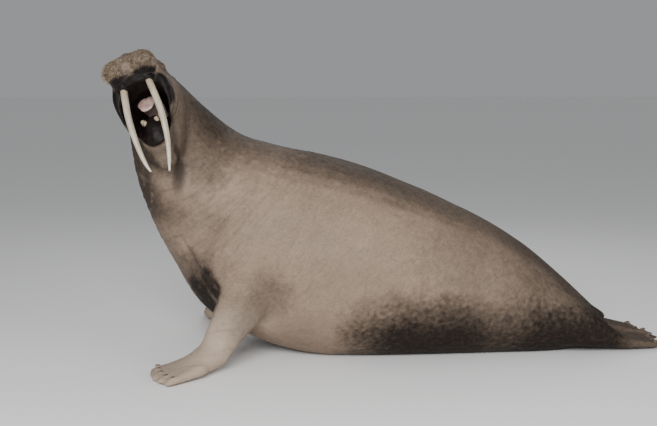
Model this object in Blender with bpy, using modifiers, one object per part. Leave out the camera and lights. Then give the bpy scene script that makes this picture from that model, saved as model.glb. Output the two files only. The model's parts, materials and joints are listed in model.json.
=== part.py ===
"""A life-size walrus bull at rest on its belly, chest raised on the fore flippers, head up and mouth open.

Metres. +Z is up and the floor is at Z = 0. The spine runs along X with the head towards -X, and the
head is turned to the animal's left, which is -Y. The trunk, neck, head and flippers are modelled as
overlapping forms, fused into one flesh, opened at the mouth, and then parted into named nodes.
"""

import math
import random

import bmesh
import bpy
import numpy as np
from mathutils import Matrix, Vector

# The gap that touching nodes keep.
GAP = 0.0003

# Trunk and neck slices, from the tail end to the nape:
# (dorsal x, dorsal z, ventral x, ventral z, half width, shift towards the animal's left).
TRUNK = (
    (1.34, 0.135, 1.34, 0.050, 0.070, 0.00),
    (1.30, 0.195, 1.30, 0.020, 0.150, 0.00),
    (1.23, 0.265, 1.23, -0.010, 0.235, 0.00),
    (1.13, 0.360, 1.13, -0.020, 0.300, 0.00),
    (1.00, 0.475, 1.00, -0.030, 0.360, 0.00),
    (0.83, 0.610, 0.83, -0.035, 0.410, 0.00),
    (0.59, 0.762, 0.59, -0.035, 0.460, 0.00),
    (0.35, 0.875, 0.35, -0.035, 0.495, 0.00),
    (0.11, 0.980, 0.11, -0.035, 0.520, 0.00),
    (-0.12, 1.070, -0.12, -0.035, 0.530, 0.00),
    (-0.35, 1.135, -0.37, -0.025, 0.525, 0.00),
    (-0.53, 1.170, -0.64, 0.040, 0.505, 0.00),
    (-0.65, 1.200, -0.88, 0.150, 0.465, 0.00),
    (-0.76, 1.230, -1.07, 0.310, 0.415, 0.01),
    (-0.85, 1.275, -1.19, 0.520, 0.360, 0.02),
    (-0.93, 1.335, -1.285, 0.700, 0.315, 0.04),
    (-1.01, 1.410, -1.345, 0.860, 0.280, 0.08),
    (-1.09, 1.490, -1.390, 1.030, 0.245, 0.12),
    (-1.16, 1.560, -1.410, 1.180, 0.205, 0.16),
)
BACK_FULLNESS = 2.1
BELLY_FULLNESS = 2.5

# The head's place and carriage: its crown leans forward with the neck, then it turns to the
# animal's left and lifts its muzzle.
HEAD_PLACE = Vector((-1.322, -0.190, 1.532))
HEAD_LEAN = math.radians(23)
HEAD_TURN = math.radians(80)
HEAD_LIFT = math.radians(30)

# Head forms in the head's own frame: (forward, left, up) from the middle of the skull, and radii.
CRANIUM = ((-0.03, 0.0, 0.00), (0.185, 0.137, 0.116))
SNOUT = ((0.10, 0.0, 0.004), (0.136, 0.116, 0.092))
NOSE = ((0.180, 0.0, 0.058), (0.082, 0.066, 0.044))
GUM = ((0.110, 0.0, -0.058), (0.108, 0.122, 0.066))
PAD_CENTRE = Vector((0.188, 0.073, 0.016))
PAD_RADII = (0.085, 0.079, 0.073)
# Slices of the lower face down the open jaw: (up, front, back, half width).
LOWER_FACE = (
    (-0.01, 0.13, -0.18, 0.138),
    (-0.08, 0.165, -0.20, 0.178),
    (-0.15, 0.150, -0.22, 0.180),
    (-0.24, 0.125, -0.21, 0.162),
    (-0.33, 0.108, -0.18, 0.135),
    (-0.42, 0.090, -0.13, 0.100),
    (-0.500, 0.055, -0.04, 0.060),
)
# The lip on each side of the opening: (forward, out, up), half width and half thickness.
LIP = (
    ((0.120, 0.100, -0.010), 0.034, 0.036),
    ((0.128, 0.126, -0.060), 0.034, 0.036),
    ((0.124, 0.135, -0.110), 0.034, 0.034),
    ((0.114, 0.130, -0.170), 0.034, 0.032),
    ((0.104, 0.118, -0.240), 0.032, 0.030),
    ((0.100, 0.098, -0.310), 0.028, 0.028),
)
# Slices of the open mouth: (forward, top, bottom, half width above, half width below).
MOUTH = (
    (0.40, -0.072, -0.540, 0.215, 0.130),
    (0.20, -0.080, -0.480, 0.170, 0.098),
    (0.12, -0.080, -0.445, 0.151, 0.084),
    (0.06, -0.083, -0.400, 0.138, 0.068),
    (0.00, -0.092, -0.310, 0.118, 0.052),
    (-0.06, -0.105, -0.235, 0.082, 0.038),
    (-0.11, -0.130, -0.180, 0.042, 0.025),
)
# Tusk slices of the left and right side: (forward, out, up, half depth, half width). The left one is longer.
TUSKS = {
    1: (
        (0.164, 0.070, -0.050, 0.024, 0.0185),
        (0.167, 0.078, -0.110, 0.024, 0.0185),
        (0.160, 0.090, -0.230, 0.0235, 0.0180),
        (0.145, 0.088, -0.330, 0.021, 0.0165),
        (0.122, 0.073, -0.436, 0.017, 0.0140),
        (0.098, 0.047, -0.522, 0.012, 0.0100),
        (0.081, 0.026, -0.580, 0.0065, 0.0055),
    ),
    -1: (
        (0.164, 0.072, -0.050, 0.024, 0.0185),
        (0.167, 0.080, -0.120, 0.024, 0.0185),
        (0.160, 0.091, -0.220, 0.0235, 0.0180),
        (0.146, 0.094, -0.325, 0.021, 0.0165),
        (0.122, 0.092, -0.430, 0.017, 0.0140),
        (0.102, 0.084, -0.505, 0.012, 0.0100),
        (0.089, 0.073, -0.547, 0.0065, 0.0055),
    ),
}
BROW = ((0.030, 0.080, 0.055), (0.080, 0.058, 0.052))
EYE_PLACE = Vector((0.045, 0.122, 0.040))
EYE_RADIUS = 0.019
LID_WIDTH = 0.0065
NOSTRIL = ((0.236, 0.023, 0.078), (0.024, 0.007, 0.014))
EAR = ((-0.085, 0.134, 0.030), (0.010, 0.016, 0.008))
# Tongue path: (forward, up, half width, half thickness), root to tip.
TONGUE = (
    (-0.100, -0.170, 0.042, 0.026),
    (-0.050, -0.152, 0.054, 0.030),
    (0.000, -0.140, 0.060, 0.032),
    (0.045, -0.137, 0.060, 0.031),
    (0.080, -0.156, 0.053, 0.027),
    (0.098, -0.192, 0.038, 0.017),
)
# The floor of the mouth under the tongue, which carries the lower teeth.
MOUTH_FLOOR = ((0.000, 0.0, -0.325), (0.108, 0.084, 0.118))
# Peg teeth of the lower jaw: (forward, sideways, up), with their radius and height.
PEGS = (
    (0.028, 0.062, -0.236),
    (0.062, 0.052, -0.252),
    (0.085, 0.034, -0.275),
)
PEG_RADIUS = 0.012
PEG_HEIGHT = 0.015

# Arm path: (x, out, z, half width, half thickness), shoulder to wrist.
ARM = (
    (-0.66, 0.26, 0.66, 0.190, 0.12),
    (-0.73, 0.36, 0.50, 0.172, 0.105),
    (-0.81, 0.445, 0.35, 0.138, 0.09),
    (-0.895, 0.51, 0.215, 0.104, 0.074),
    (-0.965, 0.545, 0.10, 0.082, 0.062),
)
SHOULDER = ((-0.74, 0.29, 0.60), (0.32, 0.215, 0.38))
WRIST = (-0.965, 0.540, 0.09)
NEAR_HAND = (-0.89, -0.46)
FAR_HAND = (0.10, 1.0)
# Palm and web slices from the wrist: (along, lift, half width, half thickness).
PALM = (
    (-0.03, 0.02, 0.080, 0.080),
    (0.05, -0.01, 0.095, 0.072),
    (0.13, -0.042, 0.114, 0.050),
    (0.20, -0.060, 0.126, 0.035),
    (0.27, -0.068, 0.132, 0.026),
    (0.325, -0.072, 0.120, 0.021),
)
# Fingers: (start across, reach, spread, radius).
FINGERS = (
    (-0.086, 0.243, math.radians(-12), 0.028),
    (-0.044, 0.254, math.radians(-6), 0.028),
    (0.000, 0.250, math.radians(1), 0.027),
    (0.044, 0.238, math.radians(8), 0.027),
    (0.086, 0.214, math.radians(14), 0.026),
)
# Leg, sole and web path: (x, out, z, half width, half thickness), from the hip.
LEG = (
    (0.88, 0.24, 0.26, 0.150, 0.180),
    (1.06, 0.25, 0.180, 0.145, 0.145),
    (1.20, 0.24, 0.120, 0.122, 0.100),
    (1.32, 0.215, 0.070, 0.106, 0.060),
    (1.42, 0.190, 0.045, 0.106, 0.036),
    (1.52, 0.163, 0.032, 0.108, 0.026),
    (1.600, 0.140, 0.026, 0.098, 0.020),
)
# Toes: (out at the root, tip x, out at the tip, radius).
TOES = (
    (0.287, 1.645, 0.228, 0.027),
    (0.245, 1.632, 0.180, 0.025),
    (0.205, 1.628, 0.136, 0.024),
    (0.165, 1.642, 0.092, 0.025),
    (0.125, 1.685, 0.044, 0.028),
)
TAIL = (
    ((1.18, 0.0, 0.220), 0.050, 0.035),
    ((1.27, 0.0, 0.190), 0.044, 0.030),
    ((1.33, 0.0, 0.165), 0.034, 0.022),
    ((1.365, 0.0, 0.150), 0.022, 0.014),
)
CLAW_LENGTH = 0.022
CLAW_WIDTH = 0.008

# Whiskers on each pad: how many, root radius, and the shortest and longest.
WHISKERS = 64
WHISKER_RADIUS = 0.0018
WHISKER_SPACING = 0.008
WHISKER_CLEARANCE = 0.005
WHISKER_LENGTHS = (0.032, 0.072)

# Cell size of the fused flesh, and how many triangles it keeps.
VOXEL = 0.012
FLESH_TRIANGLES = 6580


def spline(rows, steps):
    """The rows with steps - 1 more between each two, on a Catmull-Rom curve."""
    rows = np.array(rows, float)
    ends = np.vstack([2 * rows[0] - rows[1], rows, 2 * rows[-1] - rows[-2]])
    made = []
    for i in range(len(rows) - 1):
        a, b, c, d = ends[i : i + 4]
        for k in range(steps):
            t = k / steps
            made.append(
                0.5 * (2 * b + (c - a) * t + (2 * a - 5 * b + 4 * c - d) * t**2
                       + (3 * b - a - 3 * c + d) * t**3)
            )
    made.append(rows[-1])
    return np.array(made)


def add_mesh(name, points, faces):
    mesh = bpy.data.meshes.new(name)
    mesh.from_pydata([tuple(p) for p in points], [], faces)
    bm = bmesh.new()
    bm.from_mesh(mesh)
    bmesh.ops.recalc_face_normals(bm, faces=bm.faces)
    bm.to_mesh(mesh)
    bm.free()
    made = bpy.data.objects.new(name, mesh)
    bpy.context.scene.collection.objects.link(made)
    return made


def tube(name, stations, sides=28, steps=4, frame=None, fullness=(2.0, 2.0), rounding=0.6):
    """A closed form lofted through stations of (centre, half width vector, half height vector)."""
    rows = spline([[*c, *s, *u] for c, s, u in stations], steps)
    centres, widths, heights = rows[:, :3], rows[:, 3:6], rows[:, 6:9]
    rings = []

    def ring(centre, width, height):
        made = []
        for k in range(sides):
            angle = math.tau * k / sides
            across, along = math.cos(angle), math.sin(angle)
            power = 2 / (fullness[0] if along > 0 else fullness[1])
            across = math.copysign(abs(across) ** power, across)
            along = math.copysign(abs(along) ** power, along)
            made.append(centre + width * across + height * along)
        rings.append(made)

    def cap(i, outward):
        depth = rounding * min(np.linalg.norm(widths[i]), np.linalg.norm(heights[i]))
        turns = (25, 50, 75)
        for turn in reversed(turns) if i == 0 else turns:
            shrink = math.cos(math.radians(turn))
            centre = centres[i] + outward * depth * math.sin(math.radians(turn))
            ring(centre, widths[i] * shrink, heights[i] * shrink)

    first = centres[0] - centres[1]
    last = centres[-1] - centres[-2]
    cap(0, first / np.linalg.norm(first))
    for centre, width, height in zip(centres, widths, heights):
        ring(centre, width, height)
    cap(len(centres) - 1, last / np.linalg.norm(last))

    points = [p for made in rings for p in made]
    faces = [tuple(range(sides)), tuple(reversed(range(len(points) - sides, len(points))))]
    for i in range(len(rings) - 1):
        for k in range(sides):
            n = (k + 1) % sides
            faces.append((i * sides + k, i * sides + n, (i + 1) * sides + n, (i + 1) * sides + k))
    made = add_mesh(name, points, faces)
    if frame:
        made.data.transform(frame)
    return made


def limb(name, path, frame=None, up=(0, 0, 1), **shape):
    """A tube along a path of (point, half width, half thickness), its width level with the up vector's plane."""
    points = [Vector(p) for p, _, _ in path]
    stations = []
    for i, (point, half_width, half_thickness) in enumerate(path):
        along = points[min(i + 1, len(points) - 1)] - points[max(i - 1, 0)]
        side = along.cross(Vector(up)).normalized()
        height = side.cross(along).normalized()
        stations.append((point, side * half_width, height * half_thickness))
    return tube(name, stations, frame=frame, **shape)


def ball(name, centre, radii, frame=None, segments=24, turn=None):
    """An ellipsoid, turned about its own centre and then placed in the frame."""
    bm = bmesh.new()
    bmesh.ops.create_uvsphere(bm, u_segments=segments, v_segments=segments // 2, radius=1)
    mesh = bpy.data.meshes.new(name)
    bm.to_mesh(mesh)
    bm.free()
    place = Matrix.Translation(centre) @ (turn or Matrix()) @ Matrix.Diagonal((*radii, 1))
    mesh.transform((frame or Matrix()) @ place)
    made = bpy.data.objects.new(name, mesh)
    bpy.context.scene.collection.objects.link(made)
    return made


def evaluated(thing, name):
    """A new object with the mesh of thing as its modifiers leave it. thing is removed."""
    graph = bpy.context.evaluated_depsgraph_get()
    mesh = bpy.data.meshes.new_from_object(thing.evaluated_get(graph))
    mesh.transform(thing.matrix_world)
    bpy.data.objects.remove(thing)
    mesh.name = name
    made = bpy.data.objects.new(name, mesh)
    bpy.context.scene.collection.objects.link(made)
    return made


def joined(name, pieces):
    """One object with the loose meshes of all the pieces, which are removed."""
    bm = bmesh.new()
    for piece in pieces:
        bm.from_mesh(piece.data)
        bpy.data.objects.remove(piece)
    mesh = bpy.data.meshes.new(name)
    bm.to_mesh(mesh)
    bm.free()
    made = bpy.data.objects.new(name, mesh)
    bpy.context.scene.collection.objects.link(made)
    return made


def remeshed(thing, voxel, smoothing, factor=0.5):
    remesh = thing.modifiers.new("Fuse", "REMESH")
    remesh.mode = "VOXEL"
    remesh.voxel_size = voxel
    remesh.adaptivity = 0
    smooth = thing.modifiers.new("Soften", "SMOOTH")
    smooth.factor = factor
    smooth.iterations = smoothing
    return evaluated(thing, thing.name)


def solid_boolean(thing, tool, operation):
    """thing with tool taken from it, kept to it or added to it, in place."""
    step = thing.modifiers.new("Cut", "BOOLEAN")
    step.operation = operation
    step.solver = "EXACT"
    step.object = tool
    graph = bpy.context.evaluated_depsgraph_get()
    mesh = bpy.data.meshes.new_from_object(thing.evaluated_get(graph))
    thing.modifiers.clear()
    old = thing.data
    thing.data = mesh
    bpy.data.meshes.remove(old)


def cut(thing, tool):
    solid_boolean(thing, tool, "DIFFERENCE")


def mouth_form(frame):
    """The open mouth as a solid: from in front of the lips back to the throat."""
    rows = spline(MOUTH, 4)
    sides = 32
    points = []
    for forward, top, bottom, upper_width, lower_width in rows:
        middle = (top + bottom) / 2
        half = (top - bottom) / 2
        for k in range(sides):
            angle = math.tau * k / sides
            across, along = math.cos(angle), math.sin(angle)
            across = math.copysign(abs(across) ** 0.75, across)
            along = math.copysign(abs(along) ** 0.75, along)
            share = (along + 1) / 2
            width = lower_width + (upper_width - lower_width) * share**0.75
            points.append((forward, across * width, middle + along * half))
    faces = [tuple(range(sides)), tuple(reversed(range(len(points) - sides, len(points))))]
    for i in range(len(rows) - 1):
        for k in range(sides):
            n = (k + 1) % sides
            faces.append((i * sides + k, i * sides + n, (i + 1) * sides + n, (i + 1) * sides + k))
    made = add_mesh("mouth", points, faces)
    made.data.transform(frame)
    return made


def tusk(side, frame, extra=0.0):
    stations = []
    for forward, sideways, up, half_depth, half_width in TUSKS[side]:
        centre = Vector((forward, sideways * side, up))
        stations.append((centre, Vector((0, half_width + extra, 0)), Vector((half_depth + extra, 0, 0))))
    return tube("tusk_left" if side > 0 else "tusk_right", stations, sides=14, steps=2, frame=frame,
                rounding=0.8)


def head_frame():
    """The head's own frame: forward, left and up as columns, at the middle of the skull."""
    forward = Vector((-math.cos(HEAD_LEAN), 0, -math.sin(HEAD_LEAN)))
    left = Vector((0, -1, 0))
    up = Vector((-math.sin(HEAD_LEAN), 0, math.cos(HEAD_LEAN)))
    turned = forward * math.cos(HEAD_TURN) + left * math.sin(HEAD_TURN)
    left = left * math.cos(HEAD_TURN) - forward * math.sin(HEAD_TURN)
    lifted = turned * math.cos(HEAD_LIFT) + up * math.sin(HEAD_LIFT)
    up = up * math.cos(HEAD_LIFT) - turned * math.sin(HEAD_LIFT)
    frame = Matrix((lifted, left, up)).transposed().to_4x4()
    frame.translation = HEAD_PLACE
    return frame


def mirrored(point, side):
    return Vector((point[0], point[1] * side, point[2]))


def trunk():
    stations = []
    for dorsal_x, dorsal_z, ventral_x, ventral_z, half_width, shift in TRUNK:
        dorsal = Vector((dorsal_x, -shift, dorsal_z))
        ventral = Vector((ventral_x, -shift, ventral_z))
        stations.append(((dorsal + ventral) / 2, Vector((0, half_width, 0)), (dorsal - ventral) / 2))
    return tube("trunk", stations, sides=40, fullness=(BACK_FULLNESS, BELLY_FULLNESS))


def head_forms(frame):
    forms = [
        ball("cranium", *CRANIUM, frame),
        ball("snout", *SNOUT, frame),
        ball("nose", *NOSE, frame),
        ball("gum", *GUM, frame),
    ]
    for side in (1, -1):
        forms.append(ball("pad", mirrored(PAD_CENTRE, side), PAD_RADII, frame))
        forms.append(ball("brow", mirrored(BROW[0], side), BROW[1], frame))
        lip = [(mirrored(place, side), half_width, half_thickness) for place, half_width, half_thickness in LIP]
        forms.append(limb("lip", lip, frame, up=(1, 0, 0), sides=16))
    stations = []
    for up, front, back, half_width in LOWER_FACE:
        centre = Vector(((front + back) / 2, 0, up))
        stations.append((centre, Vector((0, half_width, 0)), Vector(((front - back) / 2, 0, 0))))
    forms.append(tube("lower face", stations, frame=frame, fullness=(2.6, 2.0), rounding=0.7))
    return forms


def fore_flipper(side, hand):
    """The arm and hand on one side; hand is the direction the fingers point in."""
    out = 1 if side > 0 else -1
    arm = [((x, -y * out, z), half_width, half_thickness) for x, y, z, half_width, half_thickness in ARM]
    forms = [limb("arm", arm, up=(0, -out, 0.25), sides=24)]
    forms.append(ball("shoulder", (SHOULDER[0][0], -SHOULDER[0][1] * out, SHOULDER[0][2]), SHOULDER[1]))
    wrist = Vector((WRIST[0], -WRIST[1] * out, WRIST[2]))
    along = Vector((*hand, 0)).normalized()
    across = Vector((-along.y, along.x, 0)) * out
    palm = []
    for share, lift, half_width, half_thickness in PALM:
        palm.append((wrist + along * share + Vector((0, 0, lift)), half_width, half_thickness))
    forms.append(limb("palm", palm, sides=24))
    for start, reach, spread, radius in FINGERS:
        root = wrist + along * 0.10 - across * start + Vector((0, 0, -0.03))
        aim = along * math.cos(spread) - across * math.sin(spread)
        path = []
        for share, height, width in ((0, 0.055, 1.25), (0.45, 0.036, 1.1), (0.8, 0.026, 1.0), (1, 0.016, 0.75)):
            point = root + aim * reach * share
            path.append(((point.x, point.y, height), radius * width, radius * width * (1.15 - 0.5 * share)))
        forms.append(limb("finger", path, sides=14))
    return forms


def hind_flipper(side):
    out = 1 if side > 0 else -1
    leg = [((x, -y * out, z), half_width, half_thickness) for x, y, z, half_width, half_thickness in LEG]
    forms = [limb("leg", leg, sides=24)]
    for root_y, tip_x, tip_y, radius in TOES:
        path = []
        root = Vector((1.36, -root_y * out, 0.060))
        tip = Vector((tip_x, -tip_y * out, 0.022))
        for share, width in ((0, 1.25), (0.4, 1.1), (0.8, 0.95), (1, 0.7)):
            point = root.lerp(tip, share)
            point.z = root.z * (1 - share) ** 1.2 + tip.z * (1 - (1 - share) ** 1.2)
            path.append((point, radius * width, radius * width * (1.1 - 0.45 * share)))
        forms.append(limb("toe", path, sides=14))
    return forms


def meets_others(points, side):
    """Whether a whisker through the points, in the head's frame, nears a tusk or the other pad."""
    for forward, sideways, up, half_depth, _ in spline(TUSKS[side], 6):
        axis = Vector((forward, sideways * side, up))
        if any((point - axis).length < half_depth + WHISKER_CLEARANCE for point in points):
            return True
    return any(point.y * side < WHISKER_CLEARANCE for point in points)


def grow_whiskers(thing, side, frame, chance):
    """Draw a bent, tapered, three-sided whisker out of faces on the front of the pad."""
    bm = bmesh.new()
    bm.from_mesh(thing.data)
    inward = frame.inverted()
    centre = mirrored(PAD_CENTRE, side)
    bmesh.ops.triangulate(bm, faces=bm.faces)
    found = []
    for face in bm.faces:
        place = inward @ face.calc_center_median() - centre
        facing = (inward.to_3x3() @ face.normal).normalized()
        front = place.x > -0.020 and -0.055 < place.z < 0.040 and place.y * side > -0.050
        if front and facing.x + abs(facing.y) > 0.35 and facing.z > -0.85 and face.calc_area() > 0.000025:
            found.append(face)
    chance.shuffle(found)
    roots = []
    grown = 0
    for face in found:
        if grown == WHISKERS:
            break
        if any((face.calc_center_median() - root).length < WHISKER_SPACING for root in roots):
            continue
        middle = face.calc_center_median()
        facing = (inward.to_3x3() @ face.normal).normalized()
        aim = Vector((facing.x + 0.9, facing.y * 0.9, facing.z * 0.6 - 0.55)).normalized()
        aim = (frame.to_3x3() @ aim).normalized()
        droop = frame.to_3x3() @ Vector((0.0, side * 0.05, -0.25))
        length = chance.uniform(*WHISKER_LENGTHS) * (0.7 + 0.3 * facing.x)
        shares = [k / 8 for k in range(1, 9)]
        course = [middle + aim * length * share + droop * length * share**2 for share in shares]
        if meets_others([inward @ point for point in course], side):
            continue
        roots.append(middle)
        corners = list(face.verts)
        bmesh.ops.delete(bm, geom=[face], context="FACES_ONLY")
        across = (corners[0].co - middle).normalized()
        other = aim.cross(across).normalized()
        across = other.cross(aim).normalized()
        rings = []
        for share, width in ((0, 1.0), (0.5, 0.72)):
            at = middle + aim * length * share + droop * length * share**2
            ring = []
            for k in range(3):
                turn = math.tau * k / 3
                out = across * math.cos(turn) + other * math.sin(turn)
                ring.append(bm.verts.new(at + out * WHISKER_RADIUS * width))
            rings.append(ring)
        tip = bm.verts.new(middle + aim * length + droop * length)
        join_rings(bm, corners, rings[0])
        for k in range(3):
            n = (k + 1) % 3
            bm.faces.new((rings[0][k], rings[0][n], rings[1][n], rings[1][k]))
            bm.faces.new((rings[1][k], rings[1][n], tip))
        grown += 1
    bmesh.ops.recalc_face_normals(bm, faces=bm.faces)
    bmesh.ops.triangulate(bm, faces=bm.faces)
    bm.to_mesh(thing.data)
    bm.free()
    return grown


def join_rings(bm, outer, inner):
    """Bridge a three-cornered hole in the skin to the three-cornered ring inside it."""
    middle = sum((v.co for v in inner), Vector()) / len(inner)
    normal = (outer[1].co - outer[0].co).cross(outer[2].co - outer[1].co).normalized()
    across = (outer[0].co - middle).normalized()
    along = normal.cross(across)

    def turn(v):
        out = v.co - middle
        return math.atan2(out.dot(along), out.dot(across)) % math.tau

    outer = sorted(outer, key=turn)
    inner = sorted(inner, key=turn)
    turned = [inner[start:] + inner[:start] for start in range(3)]
    inner = min(turned, key=lambda ring: sum((a.co - b.co).length for a, b in zip(outer, ring)))
    for k in range(3):
        n = (k + 1) % 3
        bm.faces.new((outer[k], outer[n], inner[n], inner[k]))


def eye(side, frame, extra=0.0):
    radius = EYE_RADIUS + extra
    return ball("eye_left" if side > 0 else "eye_right", mirrored(EYE_PLACE, side), (radius,) * 3, frame,
                segments=14)


def lid(side, frame):
    """A ring of lid round the eye, facing out and a little forward."""
    facing = Vector((0.30, side, 0.12)).normalized()
    turn = Vector((0, 0, 1)).rotation_difference(facing).to_matrix().to_4x4()
    points = []
    faces = []
    around, sides = 16, 8
    for i in range(around):
        angle = math.tau * i / around
        radial = Vector((math.cos(angle), math.sin(angle), 0))
        for k in range(sides):
            spin = math.tau * k / sides
            reach = EYE_RADIUS * 0.86 + LID_WIDTH * math.cos(spin)
            points.append(radial * reach + Vector((0, 0, 0.010 + LID_WIDTH * math.sin(spin))))
            n, m = (i + 1) % around, (k + 1) % sides
            faces.append((i * sides + k, n * sides + k, n * sides + m, i * sides + m))
    made = add_mesh("lid", points, faces)
    made.data.transform(frame @ Matrix.Translation(mirrored(EYE_PLACE, side)) @ turn)
    return made


def tongue(frame, extra=0.0):
    stations = []
    for forward, up, half_width, half_thickness in TONGUE:
        stations.append((Vector((forward, 0, up)), Vector((0, half_width + extra, 0)),
                         Vector((0, 0, half_thickness + extra))))
    return tube("tongue", stations, sides=16, steps=2, frame=frame, rounding=0.9)


def pegs(frame):
    made = []
    jaw = Vector((0.62, 0, 0.45)).normalized()
    for forward, sideways, up in PEGS:
        for side in (1, -1):
            root = Vector((forward, sideways * side, up))
            crown = root + jaw * PEG_HEIGHT
            path = [(root - jaw * 0.03, PEG_RADIUS, PEG_RADIUS), (root, PEG_RADIUS, PEG_RADIUS),
                    (crown, PEG_RADIUS * 0.7, PEG_RADIUS * 0.7)]
            made.append(limb("peg", path, frame, up=(0, 1, 0), sides=8, steps=1))
    return made


def box_form(centre, size, turn=None):
    bm = bmesh.new()
    bmesh.ops.create_cube(bm, size=1)
    place = Matrix.Translation(centre) @ (turn or Matrix()) @ Matrix.Diagonal((*size, 1))
    bmesh.ops.transform(bm, matrix=place, verts=bm.verts)
    mesh = bpy.data.meshes.new("box")
    bm.to_mesh(mesh)
    bm.free()
    made = bpy.data.objects.new("box", mesh)
    bpy.context.scene.collection.objects.link(made)
    return made


def taken(thing, name, centre, size, turn=None):
    """The part of thing inside the box, as a new object. thing keeps the rest, less the gap."""
    kept = bpy.data.objects.new(name, thing.data.copy())
    bpy.context.scene.collection.objects.link(kept)
    inside = box_form(centre, size, turn)
    solid_boolean(kept, inside, "INTERSECT")
    bpy.data.objects.remove(inside)
    outside = box_form(centre, [s + 2 * GAP for s in size], turn)
    solid_boolean(thing, outside, "DIFFERENCE")
    bpy.data.objects.remove(outside)
    return kept


def facing(normal, up=(0, 0, 1)):
    """A turn that takes +X to the normal."""
    x = Vector(normal).normalized()
    y = Vector(up).cross(x).normalized()
    z = x.cross(y)
    return Matrix((x, y, z)).transposed().to_4x4()


def beyond(thing, name, point, normal):
    """The part of thing past the plane, the way the normal points."""
    turn = facing(normal)
    centre = Vector(point) + Vector(normal).normalized() * 1.5
    return taken(thing, name, centre, (3, 5, 5), turn)


def thinned(thing, triangles, frame):
    """Fewer triangles, most of them kept on the head, hands and feet."""
    group = thing.vertex_groups.new(name="plain")
    inward = frame.inverted()
    for v in thing.data.vertices:
        place = inward @ v.co
        head = 1 - min(1, max(0, (place - Vector((0.08, 0, -0.15))).length - 0.26) / 0.35)
        limbs = 1 if v.co.z < 0.30 and (v.co.x < -0.75 and abs(v.co.y) > 0.35) else 0
        tail = 0.7 if v.co.x > 1.15 else 0
        group.add([v.index], 1 - 0.9 * max(head, limbs, tail), "REPLACE")
    step = thing.modifiers.new("Thin", "DECIMATE")
    step.ratio = triangles / (2 * len(thing.data.polygons))
    step.vertex_group = group.name
    step.vertex_group_factor = 0.0006
    step.use_collapse_triangulate = True
    return evaluated(thing, thing.name)


def claws(side, hand):
    """Short nails lying on the backs of the fingers and toes of one side."""
    out = 1 if side > 0 else -1
    made = []
    wrist = Vector((WRIST[0], -WRIST[1] * out, 0))
    along = Vector((*hand, 0)).normalized()
    across = Vector((-along.y, along.x, 0)) * out
    places = []
    for start, reach, spread, radius in FINGERS:
        aim = along * math.cos(spread) - across * math.sin(spread)
        root = wrist + along * 0.10 - across * start + aim * reach * 0.76
        places.append((Vector((root.x, root.y, 0.044)), aim))
    for root_y, tip_x, tip_y, radius in TOES:
        base = Vector((1.36, -root_y * out, 0))
        tip = Vector((tip_x, -tip_y * out, 0))
        root = base.lerp(tip, 0.80)
        places.append((Vector((root.x, root.y, 0.046)), (tip - base).normalized()))
    for root, aim in places:
        path = [
            (root - aim * 0.012 - Vector((0, 0, 0.016)), CLAW_WIDTH, CLAW_WIDTH * 0.7),
            (root, CLAW_WIDTH, CLAW_WIDTH * 0.7),
            (root + aim * CLAW_LENGTH + Vector((0, 0, 0.005)), CLAW_WIDTH * 0.4, CLAW_WIDTH * 0.35),
        ]
        made.append(limb("claw", path, sides=6, steps=1))
    return made


def largest_piece(thing):
    """Drop crumbs a cut may leave: only the piece with the most faces stays."""
    bm = bmesh.new()
    bm.from_mesh(thing.data)
    left = set(bm.faces)
    pieces = []
    while left:
        queue = [left.pop()]
        piece = set(queue)
        while queue:
            for edge in queue.pop().edges:
                for face in edge.link_faces:
                    if face in left:
                        left.discard(face)
                        piece.add(face)
                        queue.append(face)
        pieces.append(piece)
    pieces.sort(key=len)
    crumbs = [face for piece in pieces[:-1] for face in piece]
    bmesh.ops.delete(bm, geom=crumbs, context="FACES")
    bmesh.ops.triangulate(bm, faces=bm.faces)
    bm.to_mesh(thing.data)
    bm.free()


def painted(thing, colour, roughness):
    material = bpy.data.materials.new(thing.name)
    material.use_nodes = True
    shader = material.node_tree.nodes["Principled BSDF"]
    shader.inputs["Base Color"].default_value = (*colour, 1)
    shader.inputs["Roughness"].default_value = roughness
    material.diffuse_color = (*colour, 1)
    thing.data.materials.clear()
    thing.data.materials.append(material)


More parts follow.
